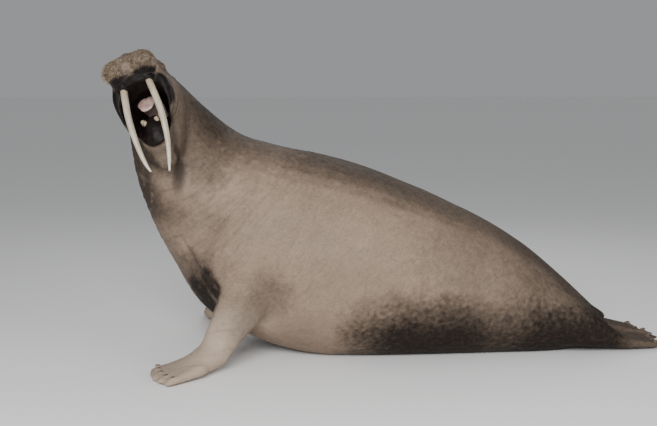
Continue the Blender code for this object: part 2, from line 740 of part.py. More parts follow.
def main():
    for thing in list(bpy.data.objects):
        bpy.data.objects.remove(thing)
    chance = random.Random(41)
    frame = head_frame()
    turn = frame.to_3x3().to_4x4()

    forms = [trunk(), *head_forms(frame)]
    forms += fore_flipper(1, NEAR_HAND)
    forms += fore_flipper(-1, FAR_HAND)
    forms += hind_flipper(1)
    forms += hind_flipper(-1)
    forms.append(limb("tail", TAIL, sides=16))
    flesh = remeshed(joined("rump", forms), VOXEL, 10)
    mouth = mouth_form(frame)
    cut(flesh, mouth)
    bpy.data.objects.remove(mouth)
    floor = ball("floor of the mouth", *MOUTH_FLOOR, frame)
    flesh = remeshed(joined("rump", [flesh, floor]), VOXEL * 0.8, 5)
    flesh = thinned(flesh, FLESH_TRIANGLES, frame)
    floor = box_form((0, 0, -0.5), (6, 6, 1))
    cut(flesh, floor)
    bpy.data.objects.remove(floor)

    for grown in (*claws(1, NEAR_HAND), *claws(-1, FAR_HAND), *pegs(frame), lid(1, frame), lid(-1, frame)):
        solid_boolean(flesh, grown, "UNION")
        bpy.data.objects.remove(grown)
    tools = [tongue(frame, GAP)]
    for side in (1, -1):
        tools += [tusk(side, frame, GAP), eye(side, frame, GAP)]
        tools.append(ball("nostril", mirrored(NOSTRIL[0], side), NOSTRIL[1], frame, segments=12))
        tools.append(ball("ear", mirrored(EAR[0], side), EAR[1], frame, segments=12))
    for tool in tools:
        cut(flesh, tool)
        bpy.data.objects.remove(tool)

    nodes = [tongue(frame)]
    for side, name in ((1, "muzzle_left"), (-1, "muzzle_right")):
        middle = frame @ Vector((0.30, side * (0.15 + GAP / 2), 0.075))
        muzzle = taken(flesh, name, middle, (0.34, 0.30, 0.30), turn)
        largest_piece(muzzle)
        grow_whiskers(muzzle, side, frame, chance)
        nodes += [muzzle, tusk(side, frame), eye(side, frame)]

    nodes.append(taken(flesh, "tail", (1.38, 0, 0.20), (0.20, 0.12, 0.20)))
    hind = beyond(flesh, "hindflipper_right", (1.27, 0, 0.10), (0.85, 0, -0.50))
    nodes.append(taken(hind, "hindflipper_left", (1.5, -0.5 - GAP / 2, 0.2), (2, 1, 2)))
    nodes.append(hind)
    for side, name in ((1, "foreflipper_left"), (-1, "foreflipper_right")):
        nodes.append(taken(flesh, name, (-1.10, -side * 0.765, 0.1175), (0.80, 0.80, 0.435)))
    head = beyond(flesh, "head", frame @ Vector((-0.13, 0, -0.23)), frame.to_3x3() @ Vector((0.925, 0, 0.38)))
    nodes.append(taken(head, "lower_jaw", frame @ Vector((0, 0, -0.70)), (1, 1, 1), turn))
    nodes.append(head)
    nodes.append(beyond(flesh, "neck", (-1.07, 0, 1.00), (-0.777, 0, 0.63)))
    nodes.append(beyond(flesh, "chest", (-0.30, 0, 0.5), (-1, 0, 0)))
    nodes.append(beyond(flesh, "torso", (0.62, 0, 0.5), (-1, 0, 0)))
    nodes.append(flesh)

    hide = (0.245, 0.185, 0.140)
    colours = {
        "tongue": ((0.42, 0.20, 0.18), 0.5),
        "muzzle": ((0.330, 0.265, 0.205), 0.6),
        "tusk": ((0.72, 0.66, 0.52), 0.35),
        "eye": ((0.03, 0.02, 0.015), 0.1),
        "tail": ((0.21, 0.155, 0.12), 0.7),
        "foreflipper": ((0.29, 0.225, 0.175), 0.7),
        "hindflipper": ((0.215, 0.16, 0.125), 0.7),
        "lower": ((0.235, 0.175, 0.135), 0.65),
        "neck": ((0.23, 0.17, 0.13), 0.7),
        "head": ((0.25, 0.19, 0.145), 0.65),
    }
    shelf = bpy.data.collections.new("walrus")
    bpy.context.scene.collection.children.link(shelf)
    for node in nodes:
        largest_piece(node)
        colour, roughness = colours.get(node.name.split("_")[0], (hide, 0.7))
        painted(node, colour, roughness)
        bpy.context.scene.collection.objects.unlink(node)
        shelf.objects.link(node)


main()
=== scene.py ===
"""The looks of a life-size walrus bull: one skin over the frame's flesh, with its tusks, eyes, tongue, teeth,
claws and whiskers, on a plain pale floor in soft light.

Metres, in the frame's own axes: +Z is up, the spine runs along X with the head towards -X, and the head is
turned to the animal's left, which is -Y and the camera's side.
"""

import json
import math
import random

import bmesh
import bpy
import numpy as np
from mathutils import Matrix, Vector
from mathutils.bvhtree import BVHTree
from mathutils.kdtree import KDTree

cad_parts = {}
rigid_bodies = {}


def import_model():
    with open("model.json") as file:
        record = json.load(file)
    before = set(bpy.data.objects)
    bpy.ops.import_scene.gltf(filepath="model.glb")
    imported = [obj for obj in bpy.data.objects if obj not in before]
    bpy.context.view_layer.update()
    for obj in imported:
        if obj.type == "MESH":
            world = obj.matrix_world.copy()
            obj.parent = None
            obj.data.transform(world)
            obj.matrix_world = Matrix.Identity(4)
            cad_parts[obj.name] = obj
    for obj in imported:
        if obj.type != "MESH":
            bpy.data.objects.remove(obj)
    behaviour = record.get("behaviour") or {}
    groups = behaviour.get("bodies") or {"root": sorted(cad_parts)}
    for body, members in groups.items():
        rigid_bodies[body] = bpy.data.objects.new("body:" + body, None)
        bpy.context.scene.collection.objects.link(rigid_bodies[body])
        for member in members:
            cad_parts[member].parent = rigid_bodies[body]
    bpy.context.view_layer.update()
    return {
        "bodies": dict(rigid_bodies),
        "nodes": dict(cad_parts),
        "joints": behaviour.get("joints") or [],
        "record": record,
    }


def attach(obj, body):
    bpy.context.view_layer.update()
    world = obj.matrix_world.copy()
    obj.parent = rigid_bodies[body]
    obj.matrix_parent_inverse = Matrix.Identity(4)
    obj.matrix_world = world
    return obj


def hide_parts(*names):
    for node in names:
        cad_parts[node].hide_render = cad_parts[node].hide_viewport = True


# The nodes that the skin stands for.
FLESH = (
    "head", "lower_jaw", "muzzle_left", "muzzle_right", "neck", "chest", "torso", "rump", "tail",
    "foreflipper_left", "foreflipper_right", "hindflipper_left", "hindflipper_right",
)
# Each node swells by more than the thin cuts between nodes are wide, so that they fuse.
SWELL = 0.0005
# The remeshed pieces' cells, and how many times the whole skin, its trunk, its limbs and its head are smoothed.
SKIN_CELL = 0.005
TUSK_CELL = 0.002
TONGUE_CELL = 0.003
SKIN_SMOOTHING = 3
TRUNK_SMOOTHING = 110
LIMB_SMOOTHING = 6
HEAD_SMOOTHING = 6
# The corners at the sharp tip of a whisker in the frame add up to less than this, in radians.
TIP_ANGLE = 0.9

# The head's place and carriage, as in the frame.
HEAD_PLACE = Vector((-1.322, -0.190, 1.532))
HEAD_LEAN = math.radians(23)
HEAD_TURN = math.radians(80)
HEAD_LIFT = math.radians(30)

# Forms of the head in its own frame: (forward, left, up).
EYE_PLACE = Vector((0.045, 0.122, 0.040))
EYE_FACING = Vector((0.30, 1.0, 0.12)).normalized()
EYE_RADIUS = 0.019
PAD_CENTRE = Vector((0.188, 0.073, 0.016))
PAD_RADII = (0.085, 0.079, 0.073)
NOSTRIL = Vector((0.236, 0.023, 0.078))
EAR = Vector((-0.085, 0.134, 0.030))
# The lids: their thickness, how far they reach from the eye's middle, and half the opening's width and height.
LID_THICKNESS = 0.0030
LID_REACH = 0.034
EYE_OPENING = (0.0150, 0.0078)
# Slices of the open mouth: (forward, top, bottom, half width above, half width below).
MOUTH = (
    (0.40, -0.072, -0.540, 0.215, 0.130),
    (0.20, -0.080, -0.480, 0.170, 0.098),
    (0.12, -0.080, -0.445, 0.151, 0.084),
    (0.06, -0.083, -0.400, 0.138, 0.068),
    (0.00, -0.092, -0.310, 0.118, 0.052),
    (-0.06, -0.105, -0.235, 0.082, 0.038),
    (-0.11, -0.130, -0.180, 0.042, 0.025),
)
# The gum's collar round the root of each tusk.
COLLAR_PLACE = Vector((0.165, 0.073, -0.066))
COLLAR_RADII = (0.037, 0.035, 0.029)
# Peg teeth of the lower jaw, the way that they point, and each ring's share of the height and of the radius.
PEGS = ((0.028, 0.062, -0.236), (0.062, 0.052, -0.252), (0.085, 0.034, -0.275))
PEG_RADIUS = 0.0128
PEG_HEIGHT = 0.019
PEG_AIM = Vector((0.62, 0, 0.45)).normalized()
PEG_RINGS = ((-1.0, 0.95), (0.0, 0.98), (0.45, 0.94), (0.75, 0.88), (0.92, 0.76), (1.0, 0.50), (1.03, 0.0))

# Whiskers on each pad: rows, how many in a row, the arcs that they cover outward and upward from the pad's
# middle, root radii, lengths, taper, how deep they are set, how far they keep from the tusks and from the
# face's middle, and each one's sides and rings.
WHISKER_ROWS = 13
WHISKER_COLUMNS = 17
WHISKER_ARC = (math.radians(-38), math.radians(72))
WHISKER_RISE = (math.radians(-40), math.radians(42))
WHISKER_RADII = (0.0010, 0.0014)
WHISKER_LENGTHS = (0.018, 0.044)
WHISKER_TAPER = 0.72
WHISKER_DEPTH = 0.004
WHISKER_CLEARANCE = 0.006
WHISKER_PARTING = 0.007
WHISKER_SIDES = 5
WHISKER_STEPS = 6
# The width of each whisker's own patch on the coat's map.
PATCH_WIDTH = 0.003

# Folds of the face: the path in the head's frame, half width, depth and the darkness of the shade painted in
# the fold. The jaw folds part the jaw from the throat, which hangs to one side under the turned head; the
# creases are on both sides.
JAW_FOLDS = (
    (((0.112, 0.128, -0.281), (0.070, 0.106, -0.339), (0.055, 0.098, -0.380), (0.030, 0.080, -0.450),
      (-0.034, 0.052, -0.485), (-0.098, 0.022, -0.498), (-0.122, -0.006, -0.540)), 0.024, 0.0050, 1.0),
    (((0.088, -0.100, -0.335), (0.040, -0.108, -0.400), (-0.048, -0.135, -0.440), (-0.118, -0.185, -0.485),
      (-0.190, -0.225, -0.540)), 0.020, 0.0045, 0.80),
)
CREASES = (
    (((0.030, 0.168, -0.160), (0.040, 0.158, -0.210), (0.053, 0.146, -0.250), (0.084, 0.124, -0.310)),
     0.0055, 0.0040, 0.80),
    (((0.150, 0.128, 0.010), (0.118, 0.146, -0.040), (0.085, 0.166, -0.095), (0.030, 0.176, -0.140)),
     0.0060, 0.0030, 0.45),
)

# The furrow between the chest and the right shoulder, in the frame's axes; the left side mirrors it.
CHEST_FOLD = ((-1.150, 0.335, 0.700), (-1.103, 0.340, 0.635), (-1.037, 0.365, 0.526), (-1.002, 0.395, 0.500),
              (-0.970, 0.415, 0.465), (-0.945, 0.432, 0.430))

# Hands and feet, as in the frame: the wrist, the way each hand points, and for each finger its start across
# the hand, reach and spread, and for each toe its root's and tip's places.
WRIST = (-0.965, 0.540)
HANDS = {1: (-0.89, -0.46), -1: (0.10, 1.0)}
FINGERS = (
    (-0.086, 0.243, math.radians(-12)),
    (-0.044, 0.254, math.radians(-6)),
    (0.000, 0.250, math.radians(1)),
    (0.044, 0.238, math.radians(8)),
    (0.086, 0.214, math.radians(14)),
)
TOES = ((0.287, 1.645, 0.228), (0.245, 1.632, 0.180), (0.205, 1.628, 0.136), (0.165, 1.642, 0.092),
        (0.125, 1.685, 0.044))
TOE_ROOT_X = 1.36
PALM = 0.10
# Claws: the share of the finger or toe at which each starts and its height there, and each ring's share of
# the length, lift and share of the width.
FINGER_CLAW = (0.76, 0.044)
TOE_CLAW = (0.80, 0.046)
CLAW_LENGTH = 0.024
CLAW_WIDTH = 0.0078
CLAW_RINGS = ((-0.55, -0.014, 1.0), (0.0, 0.0, 1.0), (0.35, 0.0035, 0.86), (0.65, 0.0040, 0.62),
              (0.88, 0.0025, 0.34), (1.0, 0.0010, 0.0))

# The middle line of the body, from the hind flippers to the skull.
SPINE = (
    (1.60, 0.00, 0.05), (1.30, 0.00, 0.12), (1.00, 0.00, 0.22), (0.60, 0.00, 0.36), (0.10, 0.00, 0.47),
    (-0.35, 0.00, 0.56), (-0.68, 0.00, 0.68), (-0.92, 0.00, 0.87), (-1.09, -0.03, 1.08),
    (-1.22, -0.10, 1.32), (-1.322, -0.19, 1.532),
)

# How much shade is painted on the back, belly and rump along X: places, and shares from 0 to 1.
BACK_SHADE = ((0.0, 0.50, 0.90), (0.48, 0.36, 0.50))
BELLY_SHADE = ((-0.32, 0.08, 0.42, 0.58, 0.72, 0.92), (0.0, 1.0, 1.0, 0.66, 0.72, 1.0))
RUMP_SHADE = ((-0.10, 0.35, 0.62, 0.87, 1.10, 1.25), (0.0, 0.11, 0.17, 0.27, 0.50, 0.64))
# Patches of painted shade: darkness, path, the distances where it starts to fade and ends, and how ragged its
# edge is. Those of the trunk and arms are drawn on the left and mirrored: shade at the root of the tail and
# under the chest, then in the hollow and the notch between chest and arm, and at the elbow.
TRUNK_SHADE_PATCHES = (
    (0.8, ((1.22, 0, 0.20), (1.33, -0.2, 0.13)), 0.05, 0.22, 0.2),
    (0.45, ((-1.06, -0.32, 0.46), (-1.00, -0.18, 0.32), (-0.90, 0, 0.22), (-0.60, 0, 0.10)), 0.02, 0.25, 0.5),
)
ARM_SHADE_PATCHES = (
    (1.0, ((-1.04, -0.29, 0.405), (-1.00, -0.27, 0.335), (-0.97, -0.24, 0.27)), 0.04, 0.15, 0.15),
    (1.0, ((-1.00, -0.395, 0.49), (-0.945, -0.405, 0.41)), 0.018, 0.085, 0.1),
    (0.30, ((-0.67, -0.52, 0.40), (-0.78, -0.56, 0.22)), 0.0, 0.22, 0.3),
)
# Painted shade along the jaw folds, in the head's frame: beside the jaw, down the throat and on the far side.
JAW_SHADE = (0.36, JAW_FOLDS[0][0][:4], 0.004, 0.036, 0.05)
THROAT_SHADE = (0.62, (*JAW_FOLDS[0][0][3:], (-0.135, -0.040, -0.600), (-0.160, -0.080, -0.680)),
                0.004, 0.056, 0.1)
FAR_SHADE = (0.42, JAW_FOLDS[1][0], 0.010, 0.090, 0.1)

# Colours in linear light.
HIDE = ((0.226, 0.163, 0.117), (0.285, 0.205, 0.148))
HIDE_PATCH = (0.165, 0.118, 0.085)
HIDE_FRECKLE = (0.135, 0.096, 0.070)
HIDE_SPECK = (0.110, 0.078, 0.058)
HIDE_HAIR = (0.345, 0.265, 0.195)
HIDE_HAND = (0.430, 0.335, 0.258)
# The hide where its painted shade is deepest.
HIDE_DEEP_SHADE = ((0.006, 0.004, 0.003), (0.018, 0.013, 0.010))
HIDE_BOSS = (0.320, 0.242, 0.180)
# Painted shade in the creases, folds and pits.
HIDE_CREASE_SHADE = (0.040, 0.029, 0.023)
PAD = ((0.080, 0.058, 0.043), (0.215, 0.164, 0.122))
# Near black painted over the mouth's inside, the gum and the pads' undersides, for the shade there.
GUM_SHADE = ((0.004, 0.0025, 0.0025), (0.011, 0.0065, 0.006))
IVORY = ((0.505, 0.450, 0.350), (0.405, 0.342, 0.248))
IVORY_ROOT = (0.330, 0.240, 0.150)
IVORY_TIP = (0.640, 0.592, 0.498)
IVORY_CRACK = (0.210, 0.150, 0.095)
PUPIL = (0.002, 0.002, 0.002)
IRIS = ((0.030, 0.014, 0.008), (0.075, 0.036, 0.017))
EYE_RIM = (0.012, 0.007, 0.006)
EYE_LINING = (0.200, 0.110, 0.088)
TONGUE = ((0.470, 0.330, 0.290), (0.300, 0.195, 0.170))
CLAW = ((0.060, 0.045, 0.035), (0.150, 0.115, 0.085))
WHISKER = ((0.430, 0.340, 0.225), (0.250, 0.180, 0.115))
FLOOR = (0.94, 0.94, 0.93)
SKY = (0.77, 0.78, 0.80)

# Camera: where it stands, how far it looks down, its turn and its lens on a 36 mm sensor.
CAMERA_PLACE = (-0.7228, -5.9641, 1.57)
CAMERA_DOWN = math.radians(7.4528)
CAMERA_TURN = math.radians(-4)
CAMERA_LENS = 1032 / 657 * 36

# The stage: the floor's size and how far below the part it lies, the sky's strength, and the lights (name,
# place, what it points at, size and power).
FLOOR_SIZE = 160
FLOOR_DROP = 0.001
SKY_STRENGTH = 0.42
LIGHTS = (
    ("key", (-1.6, -6.4, 3.3), (-0.1, 0, 0.6), (3.6, 2.4), 520),
    ("fill", (4.6, -4.5, 2.4), (0.5, 0, 0.6), (3.0, 2.0), 90),
    ("rim", (0.6, 3.4, 3.6), (0, 0, 0.8), (3.5, 1.6), 30),
)


def head_frame():
    """The head's own frame: forward, left and up as columns, at the middle of the skull."""
    forward = Vector((-math.cos(HEAD_LEAN), 0, -math.sin(HEAD_LEAN)))
    left = Vector((0, -1, 0))
    up = Vector((-math.sin(HEAD_LEAN), 0, math.cos(HEAD_LEAN)))
    turned = forward * math.cos(HEAD_TURN) + left * math.sin(HEAD_TURN)
    left = left * math.cos(HEAD_TURN) - forward * math.sin(HEAD_TURN)
    lifted = turned * math.cos(HEAD_LIFT) + up * math.sin(HEAD_LIFT)
    up = up * math.cos(HEAD_LIFT) - turned * math.sin(HEAD_LIFT)
    frame = Matrix((lifted, left, up)).transposed().to_4x4()
    frame.translation = HEAD_PLACE
    return frame


HEAD = head_frame()
INTO_HEAD = HEAD.inverted()


def moved(points, matrix):
    turn = np.array(matrix)
    return points @ turn[:3, :3].T + turn[:3, 3]


def in_head(points):
    """World points in the head's frame: columns forward, left and up."""
    return moved(points, INTO_HEAD)


def vectors(items, name):
    found = np.empty(len(items) * 3, np.float32)
    items.foreach_get(name, found)
    return found.reshape(-1, 3).astype(float)


def mesh_points(mesh):
    return vectors(mesh.vertices, "co")


def mesh_normals(mesh):
    return vectors(mesh.vertex_normals, "vector")


def mesh_edges(mesh):
    found = np.empty(len(mesh.edges) * 2, np.int32)
    mesh.edges.foreach_get("vertices", found)
    return found.reshape(-1, 2)


def set_points(mesh, points):
    mesh.vertices.foreach_set("co", np.ascontiguousarray(points, np.float32).ravel())
    mesh.update()


def smooth_step(value, low, high):
    """0 below low, 1 above high, and smooth between."""
    share = np.clip((value - low) / (high - low), 0, 1)
    return share * share * (3 - 2 * share)


def new_object(name, mesh):
    made = bpy.data.objects.new(name, mesh)
    bpy.context.scene.collection.objects.link(made)
    return made


def modify(thing, kind, **settings):
    """Change a piece's mesh by one modifier."""
    modifier = thing.modifiers.new(kind, kind)
    for key, value in settings.items():
        setattr(modifier, key, value)
    graph = bpy.context.evaluated_depsgraph_get()
    mesh = bpy.data.meshes.new_from_object(thing.evaluated_get(graph))
    thing.modifiers.clear()
    old = thing.data
    thing.data = mesh
    bpy.data.meshes.remove(old)


def shave(part):
    """Take the frame's coarse whiskers off a muzzle: each ends in a sharp tip over a ring of three."""
    gone = set()
    for v in part.verts:
        if sum(loop.calc_angle() for loop in v.link_loops) < TIP_ANGLE:
            gone.add(v)
            gone.update(edge.other_vert(v) for edge in v.link_edges)
    bmesh.ops.delete(part, geom=list(gone), context="VERTS")
    bmesh.ops.holes_fill(part, edges=part.edges, sides=6)


def fused_flesh(nodes):
    """The flesh nodes, eyeballs and gum collars as one closed skin."""
    whole = bmesh.new()
    for name in FLESH:
        part = bmesh.new()
        part.from_mesh(nodes[name].data)
        bmesh.ops.remove_doubles(part, verts=part.verts, dist=0.00001)
        if name.startswith("muzzle"):
            shave(part)
        part.normal_update()
        for v in part.verts:
            v.co += v.normal * SWELL
        mesh = bpy.data.meshes.new(name)
        part.to_mesh(mesh)
        part.free()
        whole.from_mesh(mesh)
        bpy.data.meshes.remove(mesh)
    for name in ("eye_left", "eye_right"):
        whole.from_mesh(nodes[name].data)
    for side in (1, -1):
        place = HEAD @ Matrix.Translation(mirrored(COLLAR_PLACE, side)) @ Matrix.Diagonal((*COLLAR_RADII, 1))
        bmesh.ops.create_icosphere(whole, subdivisions=4, radius=1, matrix=place)
    mesh = bpy.data.meshes.new("skin")
    whole.to_mesh(mesh)
    whole.free()
    skin = new_object("skin", mesh)
    modify(skin, "REMESH", mode="VOXEL", voxel_size=SKIN_CELL)
    keep_largest(skin.data)
    return skin


def keep_largest(mesh):
    """Drop crumbs: only the shell with the most vertices stays."""
    edges = mesh_edges(mesh)
    label = np.arange(len(mesh.vertices))
    while True:
        low = np.minimum(label[edges[:, 0]], label[edges[:, 1]])
        before = label.copy()
        np.minimum.at(label, edges[:, 0], low)
        np.minimum.at(label, edges[:, 1], low)
        label = label[label]
        if (label == before).all():
            break
    found, count = np.unique(label, return_counts=True)
    if len(found) == 1:
        return
    crumbs = np.nonzero(label != found[count.argmax()])[0]
    bm = bmesh.new()
    bm.from_mesh(mesh)
    bm.verts.ensure_lookup_table()
    bmesh.ops.delete(bm, geom=[bm.verts[i] for i in crumbs], context="VERTS")
    bm.to_mesh(mesh)
    bm.free()


def softened(thing, weights, iterations):
    """Smooth a piece, each point by its weight, which is rounded to one of a few steps."""
    steps = 20
    group = thing.vertex_groups.new(name="soften")
    levels = np.round(weights * steps).astype(int)
    for level in range(1, steps + 1):
        at = np.nonzero(levels == level)[0]
        if len(at):
            group.add(at.tolist(), level / steps, "REPLACE")
    modify(thing, "SMOOTH", factor=0.5, iterations=iterations, vertex_group=group.name)
    thing.vertex_groups.clear()


def nearness(points):
    """How much a point belongs to the head, and how much to the hands and feet, from 0 to 1."""
    local = in_head(points)
    middle = np.array((0.08, 0, -0.15))
    head = 1 - smooth_step(np.linalg.norm(local - middle, axis=1), 0.27, 0.42)
    hands = smooth_step(-points[:, 0], 0.55, 0.75) * smooth_step(np.abs(points[:, 1]), 0.28, 0.42)
    hands *= 1 - smooth_step(points[:, 2], 0.22, 0.42)
    feet = smooth_step(points[:, 0], 1.10, 1.35)
    return head, np.maximum(hands, feet)


def subdivided(skin, chosen):
    """Split the faces whose corners are all chosen into four."""
    bm = bmesh.new()
    bm.from_mesh(skin.data)
    bm.verts.ensure_lookup_table()
    edges = [e for e in bm.edges if chosen[e.verts[0].index] and chosen[e.verts[1].index]]
    bmesh.ops.subdivide_edges(bm, edges=edges, cuts=1, use_grid_fill=True)
    bm.to_mesh(skin.data)
    bm.free()


def lump_noise(points, size, seed=0):
    """Smooth noise from about -1 to 1, with lumps of the given size: one length, or one for each axis."""
    spots = points / np.array(size) + seed * 17.31
    cell = np.floor(spots).astype(np.int64)
    part = spots - cell
    fade = part**3 * (part * (part * 6 - 15) + 10)
    total = np.zeros(len(points))
    for corner in np.ndindex(2, 2, 2):
        at = cell + corner
        code = (at[:, 0] * 73856093) ^ (at[:, 1] * 19349663) ^ (at[:, 2] * 83492791)
        code = ((code ^ (code >> 13)) * 1274126177) & 0x7FFFFFFF
        code = ((code ^ (code >> 15)) * 668265263) & 0x7FFFFFFF
        away = part - corner
        slope = sum(away[:, k] * (((code >> (k * 10)) & 1023) / 511.5 - 1) for k in range(3))
        weight = np.prod(np.where(np.array(corner), fade, 1 - fade), axis=1)
        total += weight * slope
    return total * 1.6


def path_places(points, path):
    """Distance from each point to the path, and how far along the path the nearest place lies."""
    best = np.full(len(points), np.inf)
    place = np.zeros(len(points))
    passed = 0.0
    for start, end in zip(path[:-1], path[1:]):
        start = np.array(start, float)
        leg = np.array(end, float) - start
        length = np.linalg.norm(leg)
        share = np.clip((points - start) @ leg / length**2, 0, 1)
        away = np.linalg.norm(points - start - share[:, None] * leg, axis=1)
        nearer = away < best
        best[nearer] = away[nearer]
        place[nearer] = passed + share[nearer] * length
        passed += length
    return best, place


def path_distance(points, path):
    return path_places(points, path)[0]


def along_spine(points):
    """How far along the body's middle line each point lies, in metres from the hind end."""
    return path_places(points, SPINE)[1]


def bump(distance, width):
    """A bell: 1 at distance 0, near 0 from twice the width."""
    return np.exp(-((distance / width) ** 2))


def crease(phase):
    """Furrows at whole numbers, from 0 on the rolls to -1 in the furrow."""
    return -((1 - np.abs(np.sin(math.pi * phase))) ** 2.5)


def cracks(value, width):
    """Thin furrows where the noise passes zero, from 0 to -1."""
    return -np.clip(1 - np.abs(value) / width, 0, 1)


def mouth_depth(local):
    """Below 1 inside the open mouth, above 1 outside it."""
    rows = np.array(MOUTH)[::-1]
    top, bottom, above, below = (np.interp(local[:, 0], rows[:, 0], rows[:, k]) for k in (1, 2, 3, 4))
    half = (top - bottom) / 2
    level = (local[:, 2] - (top + bottom) / 2) / half
    width = below + (above - below) * np.clip((level + 1) / 2, 0, 1) ** 0.75
    power = 8 / 3
    depth = (np.abs(level) ** power + np.abs(local[:, 1] / width) ** power) ** (1 / power)
    return np.where(local[:, 0] < -0.13, 3.0, depth)


def mirrored(place, side):
    return Vector((place[0], place[1] * side, place[2]))


def nearer_distance(local, centre, radii=(1, 1, 1)):
    """Distance from the nearer of a place and its mirror, in units of the radii."""
    return np.minimum(*(np.linalg.norm((local - np.array(mirrored(centre, side))) / np.array(radii), axis=1)
                        for side in (1, -1)))


def shaped_lids(local, side):
    """Points near one eye moved onto two lids that wrap the ball and leave an almond open between them."""
    facing = mirrored(EYE_FACING, side)
    across = (Vector((1, 0, 0)) - facing * facing.x).normalized()
    up = facing.cross(across) * side
    offset = local - np.array(mirrored(EYE_PLACE, side))
    a, b, h = offset @ np.array(across), offset @ np.array(up), offset @ np.array(facing)
    reach = np.hypot(a, b)
    near = (reach < LID_REACH) & (h > -0.02)
    shell = EYE_RADIUS + LID_THICKNESS
    dome = np.sqrt(np.maximum(shell**2 - reach**2, 0.0))
    blend = 1 - smooth_step(reach, 0.0145, 0.030)
    target = np.maximum(h, dome) * blend + h * (1 - blend)
    target = np.where(reach < 0.0145, dome, target)
    opening = (a / EYE_OPENING[0]) ** 2 + (np.abs(b + 0.0008) / (EYE_OPENING[1] - 8.0 * a * a)) ** 2
    inside = np.sqrt(np.maximum(EYE_RADIUS**2 - reach**2, 0)) - 0.0035
    margin = smooth_step(opening, 0.75, 1.15)
    target = np.where(reach < 0.0185, inside * (1 - margin) + target * margin, target)
    rim = bump(np.sqrt(np.maximum(opening, 0)) - 1.18, 0.13) * (reach < 0.024)
    target += rim * 0.0014
    fold = bump(reach - 0.0235, 0.0022) * 0.0022 + bump(reach - 0.0300, 0.0024) * 0.0016
    target -= fold * (h > -0.012)
    shifted = offset + (target - h)[:, None] * np.array(facing)
    return np.where(near[:, None], shifted + np.array(mirrored(EYE_PLACE, side)), local)


def sharpness(mesh, points, normals):
    """How strongly the surface turns outward at each point, in metres of rise over its neighbours."""
    edges = mesh_edges(mesh)
    total = np.zeros_like(points)
    count = np.zeros(len(points))
    for a, b in ((0, 1), (1, 0)):
        for k in range(3):
            total[:, k] += np.bincount(edges[:, a], points[edges[:, b], k], len(points))
        count += np.bincount(edges[:, a], minlength=len(points))
    return ((points - total / np.maximum(count, 1)[:, None]) * normals).sum(1)


def tree_of(places):
    tree = KDTree(len(places))
    for i, place in enumerate(places):
        tree.insert(place, i)
    tree.balance()
    return tree


def distance_to(chosen, points, near):
    """Distance from each of the near points to the closest chosen one; the rest are far away."""
    tree = tree_of(chosen)
    found = np.full(len(points), 1.0)
    for i in np.nonzero(near)[0]:
        found[i] = tree.find(points[i])[2]
    return found


def set_mark(mesh, name, values):
    layer = mesh.attributes.new(name, "FLOAT", "POINT")
    layer.data.foreach_set("value", np.ascontiguousarray(values, np.float32))


def sculpt_body(points, normals, head, limbs):
    """Rise along the normal for the rolls, folds and wrinkles of the body, and the shade painted in its
    furrows.
    """
    along = along_spine(points)
    y, z = points[:, 1], points[:, 2]
    body = 1 - np.maximum(head, limbs)
    near_side = smooth_step(-y, -0.05, 0.25)
    rise = 0.004 * lump_noise(points, 0.34, 1) * body
    rise += 0.0016 * lump_noise(points, 0.13, 2) * (1 - head)

    neck = smooth_step(along, 2.25, 2.65) * (1 - smooth_step(along, 3.25, 3.45))
    warp = lump_noise(points, 0.22, 3) * 0.55 + lump_noise(points, 0.08, 4) * 0.14
    rolls = crease(along / 0.085 + warp)
    finer = crease(along / 0.036 + warp * 1.6 + 0.3)
    under = smooth_step(-normals[:, 0] * 0.6 - normals[:, 2] * 0.3, -0.2, 0.6)
    strength = neck * (0.35 + 0.65 * np.maximum(near_side, under)) * (1 - 0.6 * head)
    rise += rolls * 0.0028 * strength + finer * 0.0010 * strength
    # Painted shade in the furrows between the neck's rolls.
    dark = -rolls * strength * 0.22 - finer * strength * 0.10

    sizes = (0.030, 0.100, 0.100)
    ring = np.stack([along, y, z], 1)
    wrinkles = cracks(lump_noise(ring, sizes, 5), 0.16) * (0.5 + 0.5 * lump_noise(points, 0.3, 6))
    rise += wrinkles * 0.0011 * (1 - head)
    diagonal = np.stack([along + z * 0.8, y, z - along * 0.5], 1)
    wrinkles_too = cracks(lump_noise(diagonal, (0.022, 0.07, 0.07), 7), 0.14)
    rise += wrinkles_too * 0.0006 * (1 - head)
    # Painted shade in the wrinkles.
    dark += -(wrinkles * 0.30 + wrinkles_too * 0.18) * (1 - head)

    ragged = lump_noise(points, 0.05, 10) * 0.004
    for side in (1, -1):
        away = path_distance(points * np.array((1, -side, 1)), CHEST_FOLD) + ragged
        rise -= bump(away, 0.016) * 0.0085
        # Painted shade in the furrow between the chest and the shoulder, fading out upward.
        dark = np.maximum(dark, bump(away, 0.020) * 0.85 * (1 - smooth_step(z, 0.48, 0.68)))

    bosses = smooth_step(lump_noise(points, 0.042, 8), 0.30, 0.65)
    thick = 0.4 + 0.6 * smooth_step(lump_noise(points, 0.3, 9), -0.2, 0.4)
    where = smooth_step(along, 1.9, 2.5) * (1 - head) * thick
    rise += bosses * 0.0022 * where * body
    return rise, dark, bosses * where


def patch(points, blur, darkness, path, inner, outer, ragged):
    """The darkness of painted shade near the path, falling to 0 at the outer distance."""
    return darkness * (1 - smooth_step(path_distance(points, path) + blur * ragged, inner, outer))


